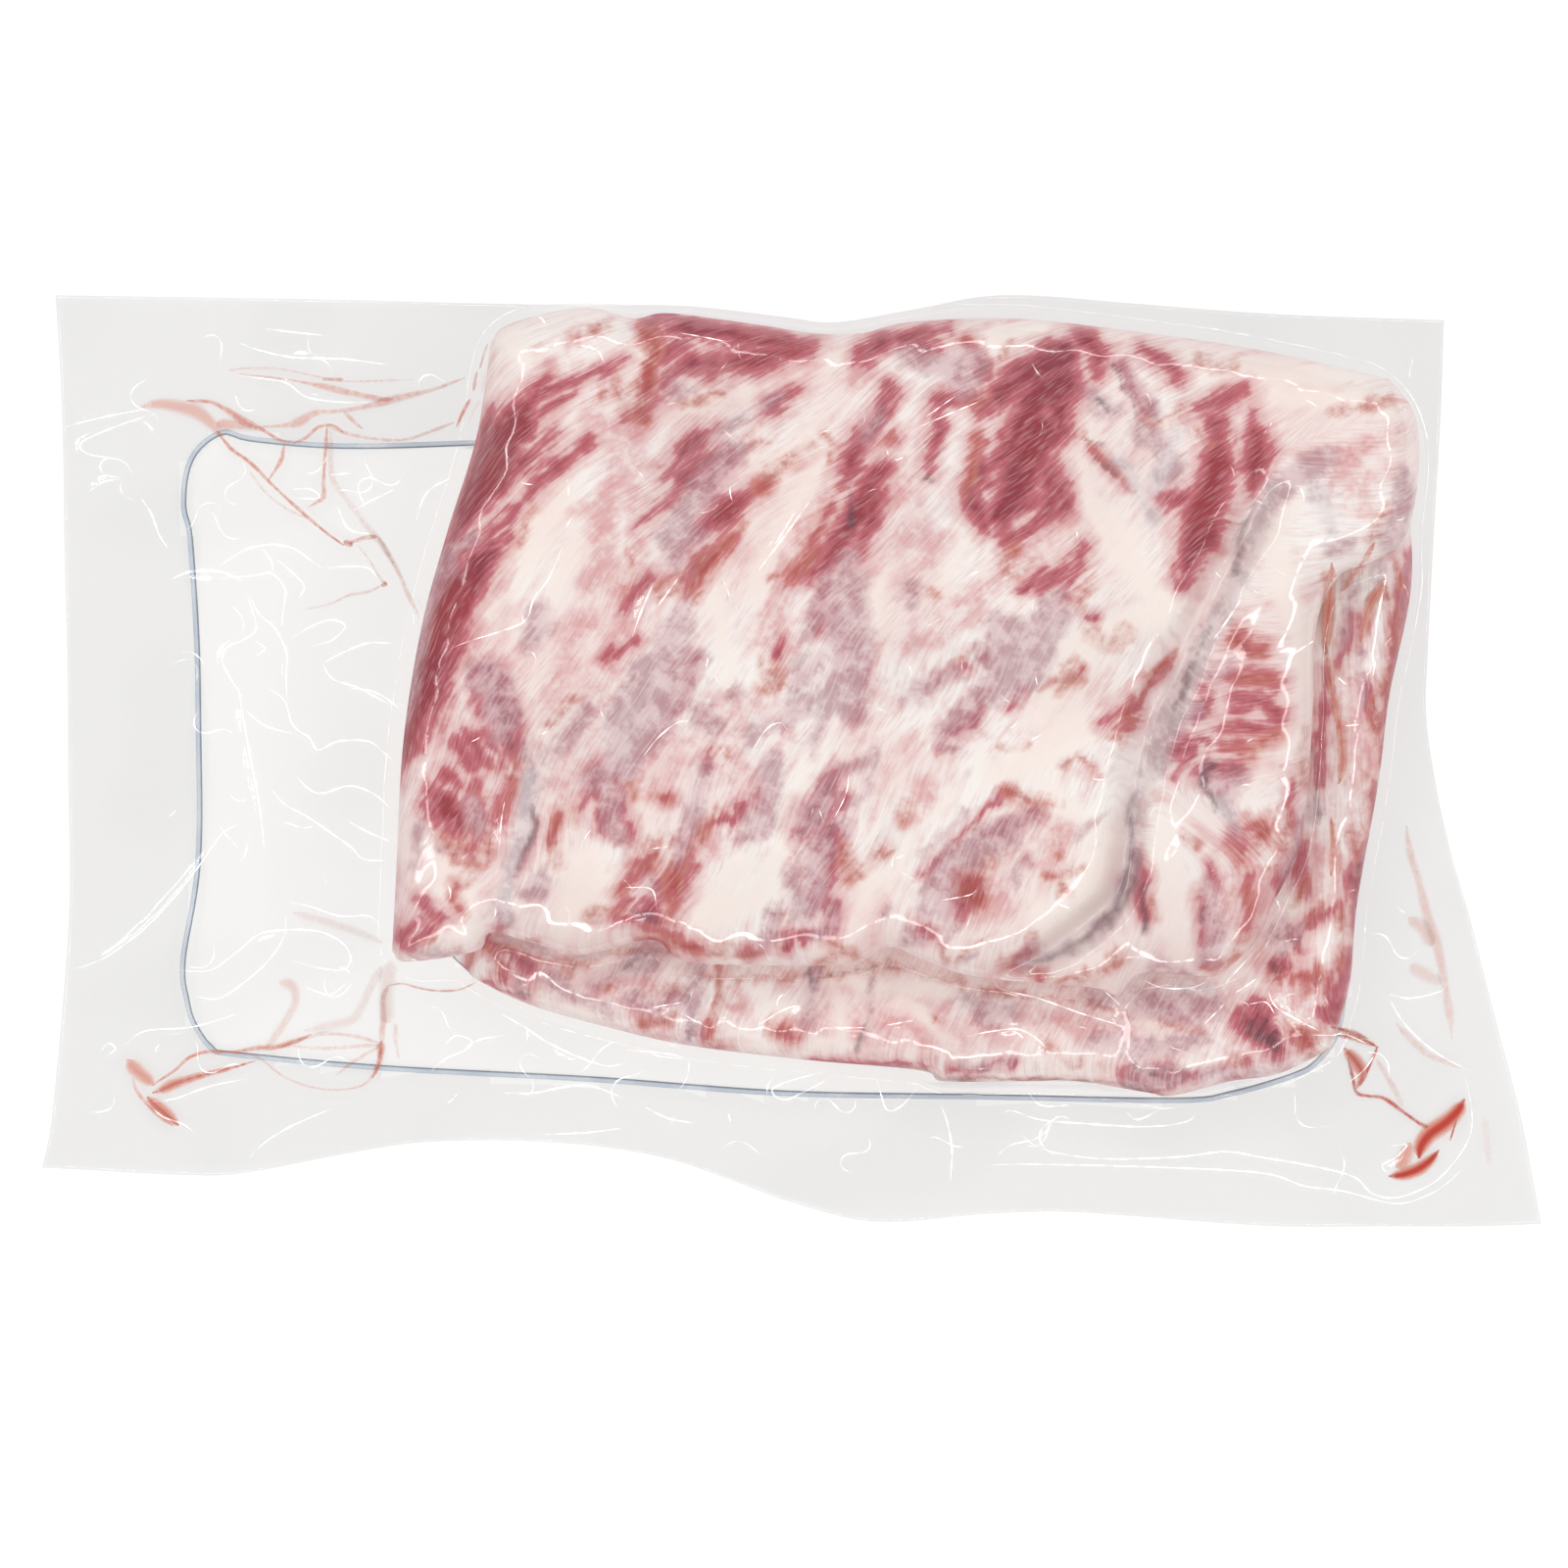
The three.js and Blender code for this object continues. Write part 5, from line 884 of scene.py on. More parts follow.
# creases of the formed web: half width, height, lines
creases = [
    (1.3, 0.6, [[(-204, 93.5), (-194, 96), (-181.5, 98.5)], [(-178, 97.5), (-191, 93), (-199, 89),
        (-197, 86), (-187.5, 84), (-184.5, 80.5)], [(-196.5, 75.5), (-193, 78), (-188, 79)], [(-147.5, 121),
        (-139.5, 120), (-129.5, 119)], [(-155, 108), (-142, 106), (-136, 102), (-127, 100.5),
        (-117.5, 100.5)], [(-160.5, 51), (-150, 52), (-145.5, 52.5), (-142, 48.5), (-142, 45), (-143, 37.5)],
        [(-148, 59.5), (-145.5, 55.5), (-145.5, 52.5)], [(-143.5, 56), (-139.5, 52.5), (-136.5, 49),
        (-138, 45.5)], [(-150, 33.5), (-147.5, 31.5), (-150, 29.5)], [(-140, 34.5), (-135, 37.5),
        (-129.5, 39.5), (-125, 38), (-128.5, 34), (-134.5, 32)], [(-130, 54), (-124, 54.5), (-118.5, 54),
        (-115.5, 50.5)], [(-139.5, 76), (-134.5, 76), (-132, 73.5), (-139, 73.5)], [(-123, 70), (-117.5, 73),
        (-111.5, 76)], [(-129, 80), (-123.5, 80.5)], [(-123.5, 20.5), (-116, 19), (-109.5, 14.5)],
        [(-124, -17), (-118.5, -20), (-112.5, -22.5)], [(-140.5, -39.5), (-134, -41), (-126.5, -43.5),
        (-118.5, -43.5), (-115, -46.5)], [(-136, -63.5), (-129.5, -65.5), (-125, -62.5)], [(-186.5, -79.5),
        (-180.5, -75.5), (-168, -74.5), (-155.5, -71)], [(-179, -95.5), (-172.5, -94.5), (-162.5, -91),
        (-152.5, -89)], [(-180.5, -95.5), (-176, -99.5), (-170.5, -101.5), (-167, -104)], [(-151.5, -111),
        (-147, -106.5), (-139.5, -102), (-128, -97)], [(-193, -81), (-191, -79), (-189, -80.5), (-192, -83)],
        [(-101, -87), (-97, -83.5), (-91.5, -81), (-89.5, -78.5), (-94, -77), (-97, -79.5)], [(-91, -80),
        (-87, -78), (-81, -77)], [(-46.5, -81), (-35, -82), (-29, -83.5)], [(-41, -97), (-35, -100),
        (-27.5, -101.5)], [(-69, -104.5), (-57, -104), (-48, -103)], [(9.5, -87), (-1.5, -90), (-5.5, -92.5),
        (-2, -95), (4, -92.5), (11.5, -88.5)], [(24, -89), (25, -93), (27, -98), (31, -96.5), (35.5, -91.5)],
        [(66.5, -93), (70, -96.5), (78, -96.5)], [(94, -98.5), (97, -100.5), (103, -98)], [(168, -108),
        (172.5, -107.5), (169.5, -111), (165.5, -113.5), (168.5, -116.5)], [(167.5, -65.5), (173.5, -66.5),
        (182, -64.5), (183, -62.5)]]),
    (1.8, 0.6, [[(-182, 73.5), (-179, 69), (-177, 63.5), (-174.5, 59.5)], [(-127, 71), (-124, 65),
        (-118, 63.5)]]),
    (1.8, 0.8, [[(-154.5, 117), (-149, 115), (-139.5, 113), (-125.5, 112.5), (-113, 111)], [(-80.5, -93),
        (-72, -93), (-64.5, -91.5), (-56.5, -91), (-47, -94.5)]]),
    (2.6, 0.9, [[(-173.5, 51), (-168, 53), (-160, 53), (-154, 50.5)]]),
    (1.6, 0.6, [[(-159.5, 55), (-153, 59), (-146, 60.5), (-139.5, 59.5), (-135, 56.5), (-131.5, 54)],
        [(-152.5, 14), (-147.5, 10), (-139.5, 7.5)], [(-37.5, 47), (-40.5, 40), (-43, 33)]]),
    (1.5, 0.6, [[(-152.5, 46.5), (-150, 37.5), (-153.5, 34), (-158, 32), (-159.5, 28), (-157, 23),
        (-153.5, 17.5)], [(-152, 46.5), (-149, 41), (-145, 37.5), (-141.5, 30.5), (-141.5, 23),
        (-141, 15.5)], [(-131, 27.5), (-125.5, 30.5), (-118.5, 33), (-111.5, 33)], [(-131.5, 27.5),
        (-128.5, 23), (-121.5, 20.5), (-112, 15.5)], [(-146, -7.5), (-142, -12), (-135, -16),
        (-128.5, -20.5), (-123, -24.5), (-120, -27.5), (-112.5, -28)], [(42, -96.5), (44, -102.5),
        (45, -109.5), (44.5, -118)], [(58.5, -99.5), (61.5, -98), (69.5, -100.5), (80.5, -101.5),
        (99.5, -102.5), (111, -101), (114, -97.5)], [(167.5, -66.5), (171, -72.5), (175.5, -77.5),
        (181, -82), (189, -86.5)]]),
    (1.6, 0.8, [[(-155, 21), (-153, 10), (-151, -1), (-149, -12), (-147.5, -24.5)]]),
    (1.4, 0.6, [[(-147.5, 21), (-142, 17), (-139.5, 10), (-135, 6.5), (-132.5, 3), (-127, 5.5),
        (-118.5, 5.5), (-114.5, 2.5), (-111, -0.5)], [(-139.5, -3.5), (-135, -8), (-131, -9), (-124, -7),
        (-117.5, -9), (-112, -13.5)], [(-172.5, -58.5), (-162.5, -58.5), (-154.5, -53), (-147.5, -48),
        (-134, -47.5), (-126.5, -50.5), (-123.5, -55), (-125.5, -58.5), (-132.5, -58), (-139.5, -56)],
        [(-168, -65.5), (-160.5, -66.5), (-152.5, -61.5), (-146, -55.5), (-142, -49), (-141.5, -43)],
        [(62.5, -102), (67, -107), (75, -110), (88.5, -111.5), (108, -111), (121.5, -109.5), (131.5, -111),
        (146, -113.5), (157.5, -116.5), (162.5, -121), (168.5, -122.5), (175.5, -120.5), (182, -116.5),
        (188.5, -108), (190.5, -100), (188.5, -87.5)], [(53, -113.5), (66.5, -113), (108, -114),
        (132.5, -115.5), (143.5, -119), (154.5, -120.5), (168.5, -124), (176.5, -122.5), (183.5, -118.5),
        (190, -112)]]),
    (1.5, 0.7, [[(-201, -58.5), (-193, -55.5), (-187.5, -52), (-180.5, -46.5), (-172.5, -38), (-165.5, -29),
        (-159.5, -20.5), (-154.5, -17.5)]]),
    (1.5, 0.8, [[(-82, -70.5), (-75, -74.5), (-68, -79), (-59.5, -83), (-51.5, -85.5), (-45.5, -84.5)]]),
    (1.2, 0.5, [[(5, 70), (-1.5, 61), (-9, 51)], [(34.5, 90), (41.5, 93), (51, 97)], [(-30.5, 49),
        (-34.5, 43.5), (-37, 40.5)]]),
    (1, 0.4, [[(1, 67), (-4.5, 58)], [(36, 92.5), (44.5, 98.5)], [(135.5, 28.5), (143, 33)], [(-30.5, 115.5),
        (-22, 114), (-16, 113)], [(-57.5, 112), (-52.5, 110.5), (-50.5, 107)], [(15.5, -3.5), (14.5, -9.5),
        (10.5, -17.5)], [(-38.5, -68), (-30, -66.5)], [(-29.5, -70), (-24.5, -73)]]),
    (1.1, 0.4, [[(-61.5, 58), (-65.5, 49), (-69.5, 43.5), (-71.5, 38), (-76, 35.5), (-87, 32), (-92, 30)]]),
    (1.1, 0.5, [[(-40, 1), (-36, 6), (-31, 10), (-27.5, 10.5)], [(-10.5, 2.5), (-8.5, 6), (-6, 9), (-3, 10),
        (-1, 8)], [(-45, -34.5), (-38, -35), (-36.5, -40.5)]]),
    (1.2, 0.6, [[(121.5, 43.5), (117.5, 37.5), (114, 32.5)], [(-77.5, -11), (-78.5, -17), (-79, -23)]]),
    (1.3, 0.8, [[(119.5, -61), (123, -57), (126.5, -53)]]),
    (1.2, 0.7, [[(122, -64), (128, -60)]]),
    (1.5, 1, [[(131, -63), (133, -67.5), (138.5, -71), (145.5, -74.5)]]),
    (1.2, 0.8, [[(126, -67), (130.5, -66.5), (133, -70)]]),
    (1, 0.5, [[(113.5, -72.5), (119, -67)], [(-9.5, -73), (-2, -68.5), (4, -67)], [(12, -73.5),
        (20.5, -73.5)], [(26, -73), (33.5, -71.5)], [(152, 9.5), (157.5, 10)], [(150, 23), (153, 20.5)],
        [(160, 23), (161, 29)]]),
    (1.1, 0.6, [[(97, -60.5), (102, -62.5), (110, -62.5), (114, -60.5)], [(85.5, -63), (89, -66),
        (90.5, -67.5)], [(55, -60), (58, -63), (68, -65.5), (81, -70), (94.5, -74)], [(156.5, -90),
        (161, -86), (164.5, -80.5)]]),
    (1.3, 0.7, [[(48, -76), (55, -74.5), (62.5, -74), (68, -77), (71.5, -81)]]),
    (1, 0.3, [[(40.5, -38), (48, -36.5), (50, -35)]]),
    (1.1, 0.7, [[(143, -75.5), (154.5, -76.5), (163, -80)]]),
]


# the pouch: a formed web drawn down over the meat, sealed to a flat web below

pouch = {
    "reachX": (-214, 215), "reachY": (-134, 135), "length": 420, "width": 262,
    "cell": 0.8, "gap": 0.35, "suction": 1.2, "skirt": 0.8, "baseGap": 0.15, "rounds": 380,
    "waveRise": 3.4, "waveStart": 14, "waveRun": 30, "meshStep": 1.1, "coarser": 4, "crinkle": 0.12,
    "formedTint": (0.972, 0.972, 0.972), "flatTint": (0.854, 0.85, 0.842),
    "printTint": (0.908, 0.903, 0.89), "skin": "FBFBFC", "roughness": 0.09, "mirror": (0.045, 0.32),
    "hangHaze": 0.07, "cloudHaze": 0.05,
}
pouchSides = {
    "front": [(-210, -114), (-167, -116), (-151, -115), (-126, -110.4), (-104, -107), (-79, -106.3),
              (-57, -107.7), (-35, -111.5), (-16, -117.8), (-2, -123), (17, -128.3), (31, -129), (53, -127),
              (75, -126.4), (94, -127.5), (135, -130.2), (163, -130.5), (190, -130.5), (210, -129.7)],
    "right": [(210, -129.7), (204.2, -100), (197.3, -72.5), (190.4, -45), (184.9, -25.7), (180.8, -6.5),
              (178.1, 12.8), (178.6, 32), (180, 59.5), (182.2, 98), (183, 123.6)],
    "back": [(-206, 130.4), (-140, 129.4), (-68, 128), (-30, 127.5), (-2, 124.5), (12, 123), (34, 126.6),
             (53, 130.2), (69, 130.5), (94, 128.5), (135, 125.4), (183, 123.6)],
    "left": [(-210, -114), (-207.5, -102.7), (-205.6, -86), (-203.9, -67), (-202.3, -34), (-202.8, 7),
             (-203.4, 48.5), (-204.7, 103.5), (-206, 130.4)],
}
panelOutline = [(-171, 71), (-170, 82), (-166, 89), (-159, 93), (-151, 91), (-126, 89), (-90, 90), (-40, 92),
                (20, 93), (80, 92), (135, 90), (150, 86), (156, 76), (157, 40), (156, -20), (156, -60),
                (154, -76), (148, -85), (141, -89), (124, -94), (108, -96), (53, -95), (-2, -94), (-57, -90),
                (-112, -87), (-156, -83), (-163, -81), (-168, -74), (-170, -67), (-171, -56), (-167, -28),
                (-167, 16), (-169, 60)]


def marginLift(x, y, clear):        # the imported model's waves in the margin: none near the meat
    turn = np.arctan2(y * 1.4, x)
    wave = 0.5 + 0.5 * np.sin(turn * 9 + x / 31) * np.cos(y / 27 - x / 90)
    return pouch["waveRise"] * wave * smooth((clear - pouch["waveStart"]) / pouch["waveRun"])


def creaseRise(x, y):        # each crease is a bell across its line, tapered to both ends
    rise = np.zeros(x.shape)
    for half, height, lines in creases:
        for points in lines:
            line = curveThrough(points, 6 * len(points))
            near = ((x > line[:, 0].min() - 3 * half) & (x < line[:, 0].max() + 3 * half)
                    & (y > line[:, 1].min() - 3 * half) & (y < line[:, 1].max() + 3 * half))
            taper = half * np.sin(np.linspace(0.15, np.pi - 0.15, len(line))) ** 0.6
            depth = distanceTo(line, x[near], y[near], widths=taper * 2)
            rise[near] = np.maximum(rise[near], height * smooth(depth / (2 * half)) ** 1.5)
    return rise


def slabTop(depth, top, half):        # a slab's height where the point is inside its rim, else 0
    return np.where(depth > 0, shoulder(depth, top, rack[half + "Wide"], rack[half + "Rim"]), 0)


def drapeFilm():
    # each point rests on what is under it or hangs at its neighbours' mean less the suction
    xs = np.arange(*pouch["reachX"], pouch["cell"])
    ys = np.arange(*pouch["reachY"], pouch["cell"])
    x, y = np.meshgrid(xs, ys)
    upperDepth, lowerDepth = depthIn(upperLoop, x, y), depthIn(lowerLoop, x, y)
    upper = slabTop(upperDepth, upperTopAt(x, y), "upper")
    lower = slabTop(lowerDepth, lowerTopAt(x, y), "lower")
    lift = marginLift(x, y, -np.maximum(upperDepth, lowerDepth))
    under = np.maximum(np.maximum(upper, lower) + pouch["gap"], lift + pouch["skirt"])
    height = under.copy()
    pull = pouch["suction"] * pouch["cell"] ** 2 / 4
    for _ in range(pouch["rounds"]):
        mean = (height[:-2, 1:-1] + height[2:, 1:-1] + height[1:-1, :-2] + height[1:-1, 2:]) / 4
        height[1:-1, 1:-1] = np.maximum(under[1:-1, 1:-1], mean - pull)
    # haze, a whiter film, in patches where it hangs free
    patchy = smooth(waves(x, y, 7, 9) * waves(x, y, 8, 26) * 1.2)
    haze = smooth((height - under) / 2) * patchy * pouch["hangHaze"]
    haze = haze + smooth(waves(x, y, 15, 70)) * pouch["cloudHaze"]
    crinkle = 1 + waves(x, y, 9, 11) * waves(x, y, 10, 23) + 0.3 * waves(x, y, 11, 5)
    return xs, ys, height + creaseRise(x, y) + pouch["crinkle"] * crinkle, lift, haze


def sampled(sheet, x, y):        # bilinear reading of a raster of heights
    i = np.clip((x - filmX[0]) / pouch["cell"], 0, len(filmX) - 1.001)
    j = np.clip((y - filmY[0]) / pouch["cell"], 0, len(filmY) - 1.001)
    a, b = i.astype(int), j.astype(int)
    p, q = i - a, j - b
    return ((1 - p) * (1 - q) * sheet[b, a] + p * (1 - q) * sheet[b, a + 1]
            + (1 - p) * q * sheet[b + 1, a] + p * q * sheet[b + 1, a + 1])


def filmFinish(name, tint):
    finish = Finish(name)
    slant = finish.node("ShaderNodeLayerWeight", None, {"Blend": 0.5}, out="Facing")
    straight, grazing = pouch["mirror"]
    gloss = straight + grazing * slant ** 5        # Schlick's mirror share, held back at the walls
    haze = finish.value("haze")
    skin = finish.node("ShaderNodeBsdfPrincipled", {"distribution": "GGX"}, {
        "Base Color": colour(pouch["skin"]), "Metallic": 1.0, "Roughness": pouch["roughness"]}, out="BSDF")
    clear = finish.node("ShaderNodeBsdfTransparent", None, {"Color": (*tint, 1)})
    return finish.done(finish.node("ShaderNodeMixShader", None, {0: gloss + haze, 1: clear, 2: skin}))


def webFinish(name, tint):        # the flat web is clear and only tints what lies under it
    finish = Finish(name)
    return finish.done(finish.node("ShaderNodeBsdfTransparent", None, {"Color": (*tint, 1)}))


def makePouch():
    # the formed web on a fine grid, the flat web on one coarser by a whole number, joined round the edge
    step = pouch["coarser"]
    counts = [int(pouch[side] / pouch["meshStep"] / step) * step + 1 for side in ("length", "width")]
    x, y = patchGrid(pouchSides, *(np.linspace(0, 1, count) for count in counts))
    top = np.stack([x, y, sampled(filmHeight, x, y)], axis=-1).reshape(-1, 3)
    bx, by = x[::step, ::step], y[::step, ::step]
    base = np.stack([bx, by, sampled(marginRise, bx, by) + pouch["baseGap"]], axis=-1).reshape(-1, 3)
    topIndex = np.arange(x.size).reshape(x.shape)
    baseIndex = x.size + np.arange(bx.size).reshape(bx.shape)

    def around(index):        # the edge of a grid, anticlockwise
        return np.concatenate([index[0, :-1], index[:-1, -1], index[-1, :0:-1], index[:0:-1, 0]])

    fine, coarse = around(topIndex).reshape(-1, step), around(baseIndex)
    fine = np.concatenate([fine, np.roll(fine[:, 0], -1)[:, None]], axis=1)
    ahead, half = np.roll(coarse, -1), step // 2
    wall = [np.stack([fine[:, i], coarse if i < half else ahead, fine[:, i + 1]], axis=1)
            for i in range(step)]
    wall.append(np.stack([fine[:, half], coarse, ahead], axis=1))
    points = np.concatenate([top, base])
    haze = np.concatenate([sampled(filmHaze, x, y).ravel(), np.zeros(len(base))])
    faces = [gridFaces(topIndex), gridFaces(baseIndex)[:, ::-1]] + wall
    film = makePiece("pouchFilm", points, faces, filmFinish("formedWeb", pouch["formedTint"]),
                     {"haze": haze})
    film.data.materials.append(webFinish("flatWeb", pouch["flatTint"]))
    film.data.materials.append(webFinish("printedWeb", pouch["printTint"]))
    middleX = (bx[1:, 1:] + bx[:-1, :-1]).ravel() / 2
    middleY = (by[1:, 1:] + by[:-1, :-1]).ravel() / 2
    kind = np.zeros(len(film.data.polygons), np.int32)
    kind[len(faces[0]):len(faces[0]) + len(faces[1])] = 1 + isInside(np.array(panelOutline), middleX, middleY)
    film.data.polygons.foreach_set("material_index", kind)
    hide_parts("sealed_pack")


